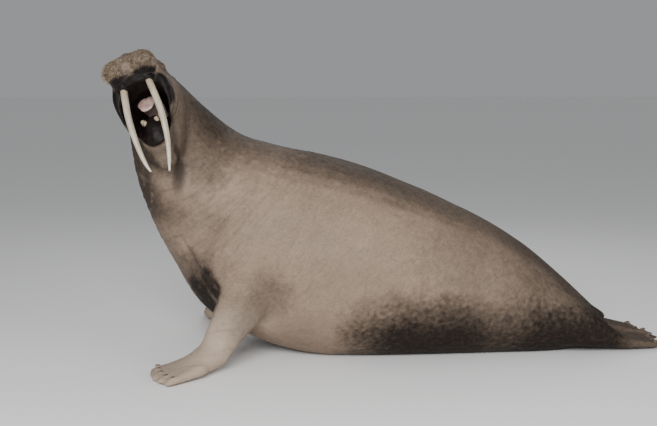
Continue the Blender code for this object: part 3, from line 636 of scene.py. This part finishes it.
def trunk_shade(points, normals, head, blur, fine):
    """How much shade is painted on the back, nape, neck, throat, chest, belly, rump and feet, where shade
    falls; the back and belly partly stand for darker hair as well.
    """
    along = along_spine(points)
    x, _, z = points.T
    ring = normals[:, 2] / np.maximum(np.hypot(normals[:, 1], normals[:, 2]), 0.05)
    back = smooth_step(ring + blur * 0.4, 0.62, 0.94) * smooth_step(2.9 - along, 0.0, 0.5)
    back *= np.interp(x, *BACK_SHADE)
    nape = normals @ np.array((0.76, 0, 0.65))
    nape = 0.52 * smooth_step(nape + blur * 0.5, 0.30, 0.90) * smooth_step(along, 1.9, 2.9)
    nape *= smooth_step(-in_head(points)[:, 0], -0.06, 0.12) * (1 - head * 0.35)
    neck = 0.30 * smooth_step(z + blur * 0.5, 0.93, 1.10) * smooth_step(-x, 0.80, 1.00)
    front = smooth_step(normals @ np.array((-0.95, 0, -0.30)) + blur * 0.5, 0.00, 0.85)
    throat = 0.64 * front * smooth_step(z, 0.68, 0.90) * smooth_step(along, 1.6, 2.4)
    chest = 0.08 * front * smooth_step(z, 0.30, 0.50) * smooth_step(along, 1.6, 2.2)

    feet = smooth_step(x, 1.26, 1.46)
    belly = np.interp(x + blur * 0.6, *BELLY_SHADE)
    belly *= np.clip((0.44 - z + blur * 0.35) / 0.29, 0, 1)
    belly += fine * 0.12 * smooth_step(belly, 0.05, 0.4)
    belly *= 1 - feet * 0.6
    rump = np.interp(x + blur, *RUMP_SHADE) * (1 - feet) + feet * 0.40
    return np.maximum.reduce([back * (1 - head), neck + nape * 0.8, throat, chest, belly, rump])


def face_shade(local, head, blur):
    """How dark the head is: a darker tone all over, and painted shade low on the face, on the crown and along
    the folds under the jaw.
    """
    face = head * (0.16 + 0.16 * smooth_step(-local[:, 2], 0.10, 0.30))
    crown = 0.45 * smooth_step(local[:, 2], 0.05, 0.12) * head * (1 - smooth_step(local[:, 0], 0.05, 0.16))
    throat = patch(local, blur, *THROAT_SHADE) * smooth_step(local[:, 2], -0.70, -0.50)
    sides = (patch(local, blur, *row) for row in (JAW_SHADE, FAR_SHADE))
    return np.maximum.reduce([face, crown, throat, *sides])


def shading(points, normals, head, limbs):
    """How much painted shade darkens the hide, from 0 to 1, all over the skin; on the back and belly it partly
    stands for the hide's darker hair as well.
    """
    x, y, z = points.T
    fine = lump_noise(points, 0.024, 53)
    blur = lump_noise(points, 0.24, 51) * 0.10 + lump_noise(points, 0.070, 52) * 0.07 + fine * 0.05
    left = np.stack([x, -np.abs(y), z], 1)
    hands = limbs * (x < 0)
    whole = np.maximum.reduce([trunk_shade(points, normals, head, blur, fine),
                               face_shade(in_head(points), head, blur),
                               *(patch(left, blur, *row) for row in TRUNK_SHADE_PATCHES)])
    arms = (patch(left, blur, *row) for row in ARM_SHADE_PATCHES)
    share = np.clip(np.maximum.reduce([whole * (1 - hands), *arms]), 0, 1)
    # The share is as the eye sees it, and the colours are mixed in linear light.
    return 1 - (1 - 0.90 * share) ** 2.2


def wet_marks(local, aim, head, depth, pads):
    """Where the skin is glossy with wetness and painted near black for shade, inside the mouth and on the gum
    round the tusks, and the painted shade on the downward-facing gum alone.
    """
    forward, out, up = local.T
    reach = 1.02 + 0.29 * smooth_step(up, -0.29, -0.17)
    inner = (1 - smooth_step(depth - reach, -0.04, 0.05)) * head * (forward > -0.13) * (forward < 0.27)
    inner *= smooth_step(-up, 0.045, 0.066)
    gum = smooth_step(-aim[:, 2], 0.25, 0.62) * smooth_step(-up, 0.022, 0.042) * (np.abs(out) < 0.17)
    gum *= head * smooth_step(forward, 0.04, 0.10) * (depth > 0.9) * (depth < 1.5)
    collar = 1 - smooth_step(nearer_distance(local, COLLAR_PLACE, COLLAR_RADII), 1.0, 1.3)
    sill = smooth_step(-up, 0.034, 0.050) * smooth_step(pads, 1.0, 1.1) * smooth_step(forward, 0.12, 0.16)
    sill *= head * (np.abs(out) < 0.09)
    return np.clip(np.maximum.reduce([inner, gum, sill, collar]), 0, 1), gum


def sculpt_head(mesh, points, normals, head):
    """Rise along the normal for the face's folds and pits, and the marks that its material reads, among them
    the shade painted in its folds, cracks and pits.
    """
    local = in_head(points)
    aim = normals @ np.array(INTO_HEAD)[:3, :3].T
    forward, out, up = local.T
    depth = mouth_depth(local)
    pads = nearer_distance(local, PAD_CENTRE, PAD_RADII)
    wet_and_shade, gum = wet_marks(local, aim, head, depth, pads)
    face = head * (1 - wet_and_shade) * smooth_step(pads, 1.05, 1.30)

    rims = (sharpness(mesh, points, normals) > 0.00026) & (head > 0.5) & (up < -0.05) & (forward > -0.08)
    rims &= np.abs(depth - 1) < 0.35
    near = (head > 0.02) & (pads > 1.0)
    rim = distance_to(points[rims], points, near)
    sides = smooth_step(np.abs(out), 0.05, 0.12) * (forward < 0.15)
    waver = lump_noise(points, 0.07, 21) * 0.30
    folds = crease(rim / 0.034 + 0.35 + waver)
    folds = folds * smooth_step(rim, 0.012, 0.03) * (1 - smooth_step(rim, 0.09, 0.17))
    rise = folds * 0.0026 * face * (0.25 + 0.75 * sides)
    rise += bump(rim - 0.010, 0.008) * 0.0016 * face
    # Painted shade in the folds round the mouth.
    dark = -folds * 0.5 * face
    both = [([mirrored(place, side) for place in path], *rest)
            for path, *rest in CREASES for side in (1, -1)]
    for path, width, depth_there, tint in [*JAW_FOLDS, *both]:
        away = path_distance(local, path)
        away += lump_noise(local, 0.03, 25) * width * 0.15
        rise -= bump(away, width) * depth_there
        rise += bump(away - width * 1.7, width * 0.7) * depth_there * 0.4 * (1 - wet_and_shade)
        # Painted shade along the jaw folds and the creases.
        dark = np.maximum(dark, bump(away, width * 1.15) * tint * (1 - wet_and_shade))

    snout = head * smooth_step(forward, 0.02, 0.09) * (up > 0) * smooth_step(pads, 0.98, 1.15)
    across = cracks(lump_noise(local, (0.014, 0.05, 0.03), 22), 0.22)
    rise += across * 0.0010 * snout
    # Painted shade in the snout's cracks.
    dark += -across * 0.35 * snout
    fine = cracks(lump_noise(local, (0.016, 0.022, 0.012), 23), 0.16)
    rise += fine * 0.0006 * face
    # Painted shade in the fine cracks.
    dark += -fine * 0.25 * face

    ridges = crease(forward / 0.017 + lump_noise(local, 0.05, 24) * 0.3)
    rise += ridges * (aim[:, 2] < -0.5) * (depth < 1.1) * head * 0.0016
    pale = (1 - smooth_step(pads, 1.04, 1.22)) * (1 - gum) * head
    for side in (1, -1):
        slit = local - np.array(mirrored(NOSTRIL, side))
        curve = slit[:, 1] * side - 0.004 + slit[:, 2] ** 2 * 22
        hollow = bump(curve, 0.0042) * bump(slit[:, 2], 0.0125) * (np.abs(slit[:, 0]) < 0.06) * head
        rise -= hollow * 0.0075
        # Painted shade in the nostril's slit.
        dark += hollow * 1.2
        ear = np.linalg.norm(local - np.array(mirrored(EAR, side)), axis=1)
        rise += (bump(ear - 0.013, 0.005) * 0.0035 - bump(ear, 0.006) * 0.005) * head
        # Painted shade in the ear's opening.
        dark += bump(ear, 0.007) * head
    return rise, dark, wet_and_shade, pale


def whisker_roots(mesh):
    """Roots over both pads in the head's frame: (place, normal, side, share outward, share upward)."""
    local = in_head(mesh_points(mesh))
    near = (local[:, 0] > 0.03) & (np.abs(local[:, 1]) < 0.2) & (local[:, 2] > -0.12)
    faces = [p.vertices[:] for p in mesh.polygons if near[p.vertices[0]]]
    tree = BVHTree.FromPolygons([Vector(p) for p in local], faces)
    chance = random.Random(7)
    roots = []
    for side in (1, -1):
        centre = mirrored(PAD_CENTRE, side)
        for i in range(WHISKER_ROWS):
            for k in range(WHISKER_COLUMNS):
                high = (i + 0.5 + chance.uniform(-0.22, 0.22)) / WHISKER_ROWS
                wide = (k + 0.5 * (i % 2) + chance.uniform(-0.22, 0.22)) / WHISKER_COLUMNS
                turn = WHISKER_ARC[0] + wide * (WHISKER_ARC[1] - WHISKER_ARC[0])
                rise = WHISKER_RISE[0] + high * (WHISKER_RISE[1] - WHISKER_RISE[0])
                way = Vector((math.cos(rise) * math.cos(turn), side * math.cos(rise) * math.sin(turn),
                              math.sin(rise)))
                place, normal, _, _ = tree.ray_cast(centre + way * 0.3, -way, 0.3)
                if place is None or place.y * side < WHISKER_PARTING:
                    continue
                roots.append((place, normal, side, wide, high))
    return roots


def smooth_flesh(nodes):
    """The fused skin, smooth on the trunk and with finer faces on the head, and finest at the eyes and pads."""
    skin = fused_flesh(nodes)
    softened(skin, np.ones(len(skin.data.vertices)), SKIN_SMOOTHING)
    head, limbs = nearness(mesh_points(skin.data))
    softened(skin, 1 - np.maximum(head, limbs), TRUNK_SMOOTHING)
    softened(skin, limbs, LIMB_SMOOTHING)
    head, _ = nearness(mesh_points(skin.data))
    subdivided(skin, head > 0.3)
    head, _ = nearness(mesh_points(skin.data))
    softened(skin, (head > 0.3) * 1.0, HEAD_SMOOTHING)
    local = in_head(mesh_points(skin.data))
    near_eye = nearer_distance(local, EYE_PLACE) < 0.045
    subdivided(skin, near_eye | (nearer_distance(local, PAD_CENTRE, PAD_RADII) < 1.15))
    return skin


def make_skin(nodes):
    """The whole skin, sculpted and marked, and the roots of its whiskers."""
    skin = smooth_flesh(nodes)
    mesh = skin.data
    roots = whisker_roots(mesh)
    points = mesh_points(mesh)
    normals = mesh_normals(mesh)
    head, limbs = nearness(points)
    rise, dark, bosses = sculpt_body(points, normals, head, limbs)
    face_rise, face_dark, wet_and_shade, pale = sculpt_head(mesh, points, normals, head)
    pit = distance_to([HEAD @ place for place, *_ in roots], points, pale > 0.05)
    rise += face_rise - bump(pit, 0.0022) * 0.0011 + bump(pit - 0.0042, 0.0016) * 0.0007
    # Painted shade in the pits round the whiskers' roots, on top of the face's own painted shade.
    dark += face_dark + bump(pit, 0.0020) * 0.9
    points = points + normals * rise[:, None]
    local = in_head(points)
    for side in (1, -1):
        local = shaped_lids(local, side)
    points = np.where((head > 0)[:, None], moved(local, HEAD), points)
    points[:, 2] = np.maximum(points[:, 2], 0.0)
    set_points(mesh, points)
    # Marks for the material: crease is painted shade in furrows, folds and pits; wet_and_shade is the wet skin
    # of the mouth and gum, painted near black for shade; shade is the painted shade over the hide.
    marks = {
        "crease": np.clip(dark, 0, 1),
        "wet_and_shade": wet_and_shade,
        "pale": pale,
        "boss": np.clip(bosses, 0, 1),
        "limb": limbs * (points[:, 0] < 0),
        "shade": shading(points, normals, head, limbs),
    }
    for name, values in marks.items():
        set_mark(mesh, name, values)
    mesh.shade_smooth()
    print("skin", len(mesh.polygons), "faces", len(roots), "whisker roots")
    return skin, roots


def refined(node, name, cell, smoothing):
    """A finer copy of a frame node's form."""
    made = new_object(name, node.data.copy())
    modify(made, "REMESH", mode="VOXEL", voxel_size=cell)
    modify(made, "SMOOTH", factor=0.5, iterations=smoothing)
    made.data.shade_smooth()
    return made


def make_tusk(nodes, name):
    """A smooth tusk with shallow flutes and fine splits along it."""
    tusk = refined(nodes[name], name + "_ivory", TUSK_CELL, 6)
    low = in_head(mesh_points(tusk.data))[:, 2]
    softened(tusk, 1 - 0.85 * smooth_step(-low, -np.percentile(low, 22), -low.min() - 0.02), 36)
    points = mesh_points(tusk.data)
    normals = mesh_normals(tusk.data)
    local = in_head(points)
    flutes = lump_noise(local, (0.011, 0.011, 0.30), 31)
    splits = cracks(lump_noise(local, (0.0055, 0.0055, 0.17), 32), 0.10)
    splits *= smooth_step(lump_noise(local, (0.02, 0.02, 0.10), 33), -0.1, 0.3)
    points += normals * (flutes * 0.0007 + splits * 0.0005 + 0.0004)[:, None]
    set_points(tusk.data, points)
    set_mark(tusk.data, "crease", -splits)
    set_mark(tusk.data, "length", np.clip((-local[:, 2] - 0.06) / 0.48, 0, 1))
    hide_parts(name)
    return tusk


def make_eye(side):
    """An eyeball whose pole faces out between the lids."""
    bm = bmesh.new()
    bmesh.ops.create_uvsphere(bm, u_segments=56, v_segments=40, radius=EYE_RADIUS)
    name = "eye_left" if side > 0 else "eye_right"
    mesh = bpy.data.meshes.new(name + "_ball")
    bm.to_mesh(mesh)
    bm.free()
    points = mesh_points(mesh)
    angle = np.arccos(np.clip(points[:, 2] / EYE_RADIUS, -1, 1))
    bulge = bump(angle, 0.55) * 0.0012
    points *= (1 + bulge / EYE_RADIUS)[:, None]
    set_points(mesh, points)
    set_mark(mesh, "angle", angle)
    facing = mirrored(EYE_FACING, side)
    turn = Vector((0, 0, 1)).rotation_difference(facing).to_matrix().to_4x4()
    mesh.transform(HEAD @ Matrix.Translation(mirrored(EYE_PLACE, side)) @ turn)
    mesh.shade_smooth()
    ball = new_object(name + "_ball", mesh)
    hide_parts(name)
    return ball


def make_tongue(nodes):
    """A soft tongue with a groove down its middle."""
    tongue = refined(nodes["tongue"], "tongue_flesh", TONGUE_CELL, 60)
    points = mesh_points(tongue.data)
    normals = mesh_normals(tongue.data)
    local = in_head(points)
    top = smooth_step(normals @ np.array(HEAD)[:3, 2], 0.0, 0.6)
    rise = 0.003 - bump(local[:, 1], 0.008) * 0.004 * top
    rise += lump_noise(points, 0.030, 41) * 0.0015 + lump_noise(points, 0.007, 42) * 0.0006 * top
    set_points(tongue.data, points + normals * rise[:, None])
    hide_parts("tongue")
    return tongue


def lofted(points, faces, course, radii, sides):
    """Add a closed tapered form along the course, ending in a point on its last place."""
    first = len(points)
    aside = Vector((0.31, 0.27, 0.91))  # no course runs this way
    for i, place in enumerate(course[:-1]):
        along = (course[i + 1] - course[max(i - 1, 0)]).normalized()
        side = along.cross(aside).normalized()
        over = along.cross(side)
        for k in range(sides):
            angle = math.tau * k / sides
            points.append(place + (side * math.cos(angle) + over * math.sin(angle)) * radii[i])
    points.append(course[-1])
    rings = len(course) - 1
    faces.append(tuple(first + k for k in reversed(range(sides))))
    for i in range(rings - 1):
        for k in range(sides):
            n = (k + 1) % sides
            a, b = first + i * sides, first + (i + 1) * sides
            faces.append((a + k, a + n, b + n, b + k))
    last = first + (rings - 1) * sides
    for k in range(sides):
        faces.append((last + k, last + (k + 1) % sides, first + rings * sides))


def built(name, points, faces):
    """A smooth piece from its points and faces."""
    mesh = bpy.data.meshes.new(name)
    mesh.from_pydata([tuple(p) for p in points], [], faces)
    mesh.update()
    mesh.shade_smooth()
    return new_object(name, mesh)


def make_teeth():
    points, faces = [], []
    way = HEAD.to_3x3() @ PEG_AIM
    for place in PEGS:
        for side in (1, -1):
            root = HEAD @ mirrored(place, side)
            course = [root + way * PEG_HEIGHT * share for share, _ in PEG_RINGS]
            lofted(points, faces, course, [PEG_RADIUS * width for _, width in PEG_RINGS], 16)
    teeth = built("teeth", points, faces)
    return teeth


def claw_places():
    """Where each nail starts on the backs of the fingers and toes, and the way that it points."""
    for side, hand in HANDS.items():
        wrist = Vector((WRIST[0], -WRIST[1] * side, 0))
        along = Vector((*hand, 0)).normalized()
        across = Vector((-along.y, along.x, 0)) * side
        for start, reach, spread in FINGERS:
            aim = along * math.cos(spread) - across * math.sin(spread)
            root = wrist + along * PALM - across * start + aim * reach * FINGER_CLAW[0]
            yield Vector((root.x, root.y, FINGER_CLAW[1])), aim
        for root_y, tip_x, tip_y in TOES:
            base = Vector((TOE_ROOT_X, -root_y * side, 0))
            tip = Vector((tip_x, -tip_y * side, 0))
            root = base.lerp(tip, TOE_CLAW[0])
            yield Vector((root.x, root.y, TOE_CLAW[1])), (tip - base).normalized()


def make_claws():
    points, faces = [], []
    for root, aim in claw_places():
        course = [root + aim * CLAW_LENGTH * share + Vector((0, 0, lift)) for share, lift, _ in CLAW_RINGS]
        lofted(points, faces, course, [CLAW_WIDTH * width for *_, width in CLAW_RINGS], 14)
    claws = built("claws", points, faces)
    return claws


def bristle(chance, place, normal, side, wide, high):
    """The course of one whisker from its root, bent a little at random, and its radii."""
    aim = Vector((normal.x + 0.8, normal.y * 0.6, normal.z * 0.6 - 0.70)).normalized()
    aim += Vector((chance.gauss(0, 0.10), chance.gauss(0, 0.12), chance.gauss(0, 0.10)))
    aim.normalize()
    sag = Vector((0, side * 0.05, -0.25)) + Vector((chance.gauss(0, 0.06) for _ in range(3)))
    share = 0.35 + 0.65 * wide - 0.25 * high
    length = WHISKER_LENGTHS[0] + (WHISKER_LENGTHS[1] - WHISKER_LENGTHS[0]) * min(1, max(0, share))
    length *= chance.uniform(0.8, 1.12)
    radius = chance.uniform(*WHISKER_RADII)
    course = [place - normal * WHISKER_DEPTH]
    for k in range(1, WHISKER_STEPS + 1):
        part = k / WHISKER_STEPS
        course.append(place + (aim + sag * part) * length * part)
    radii = [radius * (1 - WHISKER_TAPER * k / WHISKER_STEPS) for k in range(WHISKER_STEPS)]
    return [HEAD @ spot for spot in course], radii


def map_whiskers(mesh, patches):
    """Give each whisker a small patch of its own on the coat's map."""
    layer = mesh.uv_layers.new(name="OFBake")
    vertex = np.empty(len(mesh.loops), np.int32)
    mesh.loops.foreach_get("vertex_index", vertex)
    whisker, spot = np.divmod(vertex, WHISKER_SIDES * WHISKER_STEPS + 1)
    place = np.array(patches)[whisker]
    place[:, 0] += (spot % WHISKER_SIDES / WHISKER_SIDES - 0.5) * PATCH_WIDTH
    place[:, 1] += (spot // WHISKER_SIDES / WHISKER_STEPS - 0.5) * PATCH_WIDTH
    layer.uv.foreach_set("vector", place.astype(np.float32).ravel())


def make_whiskers(roots, nodes):
    """Stout bristles over both pads, clear of the tusks."""
    tusks = tree_of([v.co.copy() for name in ("tusk_left", "tusk_right") for v in nodes[name].data.vertices])
    chance = random.Random(11)
    points, faces, patches = [], [], []
    for place, normal, side, wide, high in roots:
        course, radii = bristle(chance, place, normal, side, wide, high)
        if any(tusks.find(spot)[2] < WHISKER_CLEARANCE for spot in course[2:]):
            continue
        lofted(points, faces, course, radii, WHISKER_SIDES)
        patches.append((0.5 + side * (0.03 + 0.44 * wide), 0.05 + 0.9 * high))
    whiskers = built("whiskers", points, faces)
    map_whiskers(whiskers.data, patches)
    return whiskers


def feed(node, inputs):
    """Link outputs to the node's sockets, and set plain values on the sockets themselves."""
    for key, value in inputs.items():
        socket = node.inputs[key]
        if isinstance(value, bpy.types.NodeSocket):
            node.id_data.links.new(value, socket)
        else:
            socket.default_value = value


def add(tree, kind, inputs=None, **settings):
    made = tree.nodes.new(kind)
    for key, value in settings.items():
        setattr(made, key, value)
    feed(made, inputs or {})
    return made


def material(name, look):
    """A material whose shader takes the inputs that look gives for its tree."""
    made = bpy.data.materials.new(name)
    made.use_nodes = True
    feed(made.node_tree.nodes["Principled BSDF"], look(made.node_tree))
    return made


def object_place(tree):
    return add(tree, "ShaderNodeTexCoord").outputs["Object"]


def mark(tree, name):
    return add(tree, "ShaderNodeAttribute", attribute_name=name).outputs["Fac"]


def ranged(tree, value, low, high, to_low=0.0, to_high=1.0):
    made = add(tree, "ShaderNodeMapRange", {"Value": value, "From Min": low, "From Max": high,
                                           "To Min": to_low, "To Max": to_high})
    return made.outputs["Result"]


def noise(tree, place, scale, detail=4.0, roughness=0.55, stretch=None):
    if stretch:
        place = add(tree, "ShaderNodeMapping", {"Vector": place, "Scale": stretch}).outputs["Vector"]
    made = add(tree, "ShaderNodeTexNoise", {"Vector": place, "Scale": scale, "Detail": detail,
                                           "Roughness": roughness})
    return made.outputs["Fac"]


def mixed(tree, share, first, second):
    """A mix of two colours."""
    first, second = ((*value, 1) if isinstance(value, tuple) else value for value in (first, second))
    return add(tree, "ShaderNodeMix", {0: share, 6: first, 7: second}, data_type="RGBA").outputs[2]


def mixed_value(tree, share, first, second):
    """A mix of two numbers."""
    return add(tree, "ShaderNodeMix", {0: share, 2: first, 3: second}, data_type="FLOAT").outputs[0]


def maths(tree, kind, first, second):
    return add(tree, "ShaderNodeMath", {0: first, 1: second}, operation=kind).outputs[0]


def tinted(tree, colour, share, strength, tint):
    """The colour moved towards the tint by share times strength."""
    return mixed(tree, maths(tree, "MULTIPLY", share, strength), colour, tint)


def bumped(tree, height, strength, distance, normal=None):
    inputs = {"Height": height, "Strength": strength, "Distance": distance}
    if normal:
        inputs["Normal"] = normal
    return add(tree, "ShaderNodeBump", inputs).outputs["Normal"]


def hide_colour(tree, place, hairs):
    """The hide's colour, from its own tones through its painted shade and the painted shade in its creases to
    the near black painted for shade in the mouth and on the gum.
    """
    broad = ranged(tree, noise(tree, place, 2.6, 3), 0.35, 0.65)
    patches = ranged(tree, noise(tree, place, 10, 5, 0.62), 0.36, 0.66)
    freckles = ranged(tree, noise(tree, place, 38, 4, 0.7), 0.42, 0.64)
    specks = ranged(tree, noise(tree, place, 110, 3, 0.7), 0.40, 0.64)
    colour = mixed(tree, broad, *HIDE)
    colour = tinted(tree, colour, patches, 0.50, HIDE_PATCH)
    colour = tinted(tree, colour, freckles, 0.26, HIDE_FRECKLE)
    colour = tinted(tree, colour, specks, 0.26, HIDE_SPECK)
    colour = tinted(tree, colour, hairs, 0.26, HIDE_HAIR)
    colour = tinted(tree, colour, mark(tree, "limb"), 0.75, HIDE_HAND)

    # Painted shade: the shade mark darkens the hide towards its deepest shade colour, unevenly with the
    # freckles.
    shade = mark(tree, "shade")
    uneven = maths(tree, "ADD", maths(tree, "MULTIPLY", shade, 1.03),
                   maths(tree, "MULTIPLY", maths(tree, "SUBTRACT", freckles, 0.5), 0.12))
    uneven = maths(tree, "MULTIPLY", ranged(tree, shade, 0.0, 0.15), uneven)
    colour = mixed(tree, ranged(tree, uneven, 0.0, 1.0, 0.0, 0.98), colour, mixed(tree, hairs, *HIDE_DEEP_SHADE))
    pad = mixed(tree, ranged(tree, noise(tree, place, 46, 4, 0.65), 0.38, 0.60), *PAD)
    colour = mixed(tree, mark(tree, "pale"), colour, pad)
    colour = tinted(tree, colour, mark(tree, "boss"), 0.22, HIDE_BOSS)
    # Painted shade in the creases, folds and pits.
    colour = tinted(tree, colour, mark(tree, "crease"), 0.72, HIDE_CREASE_SHADE)
    # Near black painted over the mouth's inside, the gum and the pads' undersides, for the shade there.
    gum = mixed(tree, ranged(tree, noise(tree, place, 30, 3), 0.4, 0.6), *GUM_SHADE)
    return mixed(tree, mark(tree, "wet_and_shade"), colour, gum)


def hide_look(tree):
    place = object_place(tree)
    wet_and_shade = mark(tree, "wet_and_shade")
    hairs = ranged(tree, noise(tree, place, 190, 2, 0.6, (0.35, 1, 1)), 0.35, 0.65)
    rough = ranged(tree, noise(tree, place, 34, 4), 0.3, 0.7, 0.52, 0.74)
    # Less specular sheen where shade is painted, so that the painted shade reads darker.
    gloss = mixed_value(tree, mark(tree, "shade"), 0.26, 0.10)
    cells = add(tree, "ShaderNodeTexVoronoi", {"Vector": place, "Scale": 95.0}, feature="DISTANCE_TO_EDGE")
    leather = ranged(tree, cells.outputs["Distance"], 0.0, 0.16)
    grain = bumped(tree, mixed_value(tree, wet_and_shade, leather, 1.0), 0.30, 0.0012)
    grain = bumped(tree, noise(tree, place, 22, 6, 0.6), 0.45, 0.005, grain)
    grain = bumped(tree, hairs, 0.26, 0.0014, grain)
    return {
        "Base Color": hide_colour(tree, place, hairs),
        "Roughness": mixed_value(tree, wet_and_shade, rough, 0.50),
        "Specular IOR Level": mixed_value(tree, wet_and_shade, gloss, 0.16),
        "Normal": grain,
    }


def ivory_look(tree):
    length = mark(tree, "length")
    streaks = ranged(tree, noise(tree, object_place(tree), 42, 4, 0.6, (1, 1, 0.10)), 0.35, 0.68)
    colour = mixed(tree, streaks, *IVORY)
    colour = mixed(tree, ranged(tree, length, 0.0, 0.22, 0.75, 0.0), colour, IVORY_ROOT)
    colour = mixed(tree, ranged(tree, length, 0.80, 1.0, 0.0, 0.6), colour, IVORY_TIP)
    colour = tinted(tree, colour, mark(tree, "crease"), 0.75, IVORY_CRACK)
    return {
        "Base Color": colour,
        "Roughness": ranged(tree, streaks, 0, 1, 0.28, 0.44),
        "Normal": bumped(tree, streaks, 0.25, 0.0008),
        "Coat Weight": 0.15,
    }


def eye_look(tree):
    """Pupil, iris, dark rim and lining, by the angle from the eye's pole."""
    angle = mark(tree, "angle")
    iris = mixed(tree, noise(tree, object_place(tree), 900, 2), *IRIS)
    colour = mixed(tree, ranged(tree, angle, 0.27, 0.32), PUPIL, iris)
    colour = mixed(tree, ranged(tree, angle, 0.56, 0.66), colour, EYE_RIM)
    colour = mixed(tree, ranged(tree, angle, 0.72, 0.86), colour, EYE_LINING)
    return {"Base Color": colour, "Roughness": 0.10, "Coat Weight": 0.4, "Coat Roughness": 0.03}


def tongue_look(tree):
    place = object_place(tree)
    blotches = ranged(tree, noise(tree, place, 26, 5, 0.6), 0.35, 0.65)
    return {
        "Base Color": mixed(tree, blotches, *TONGUE),
        "Normal": bumped(tree, noise(tree, place, 300, 2), 0.5, 0.001),
        "Roughness": 0.32,
        "Coat Weight": 0.3,
    }


def claw_look(tree):
    bands = ranged(tree, noise(tree, object_place(tree), 160, 3), 0.35, 0.65)
    return {
        "Base Color": mixed(tree, bands, *CLAW),
        "Normal": bumped(tree, bands, 0.3, 0.0006),
        "Roughness": 0.38,
    }


def whisker_look(tree):
    tint = ranged(tree, noise(tree, object_place(tree), 60, 2), 0.35, 0.65)
    return {"Base Color": mixed(tree, tint, *WHISKER), "Roughness": 0.35}


def floor_look(_):
    return {"Base Color": (*FLOOR, 1), "Roughness": 0.8}


def make_camera():
    data = bpy.data.cameras.new("camera")
    data.sensor_width = 36
    data.lens = CAMERA_LENS
    camera = new_object("camera", data)
    camera.location = CAMERA_PLACE
    camera.rotation_euler = (math.pi / 2 - CAMERA_DOWN, 0, CAMERA_TURN)
    bpy.context.scene.camera = camera


def make_light(name, place, target, size, power):
    data = bpy.data.lights.new(name, "AREA")
    data.shape = "RECTANGLE"
    data.size, data.size_y = size
    data.energy = power
    light = new_object(name, data)
    light.location = place
    aim = Vector(target) - Vector(place)
    light.rotation_euler = aim.to_track_quat("-Z", "Y").to_euler()


def make_stage():
    bpy.ops.mesh.primitive_plane_add(size=FLOOR_SIZE, location=(0, 0, -FLOOR_DROP))
    floor = bpy.context.object
    floor.name = "floor"
    floor.data.materials.append(material("floor", floor_look))
    world = bpy.data.worlds.new("world")
    bpy.context.scene.world = world
    world.use_nodes = True
    sky = world.node_tree.nodes["Background"]
    feed(sky, {"Color": (*SKY, 1), "Strength": SKY_STRENGTH})
    for light in LIGHTS:
        make_light(*light)


def main():
    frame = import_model()
    nodes = frame["nodes"]
    make_camera()
    make_stage()
    skin, roots = make_skin(nodes)
    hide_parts(*FLESH)
    ivory = material("ivory", ivory_look)
    eye = material("eye", eye_look)
    pieces = [
        (skin, material("hide", hide_look)),
        (make_tongue(nodes), material("tongue", tongue_look)),
        (make_teeth(), ivory),
        (make_claws(), material("claw", claw_look)),
        (make_whiskers(roots, nodes), material("whisker", whisker_look)),
    ]
    pieces += [(make_tusk(nodes, name), ivory) for name in ("tusk_left", "tusk_right")]
    pieces += [(make_eye(side), eye) for side in (1, -1)]
    for piece, surface in pieces:
        piece.data.materials.clear()
        piece.data.materials.append(surface)
        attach(piece, "root")


main()
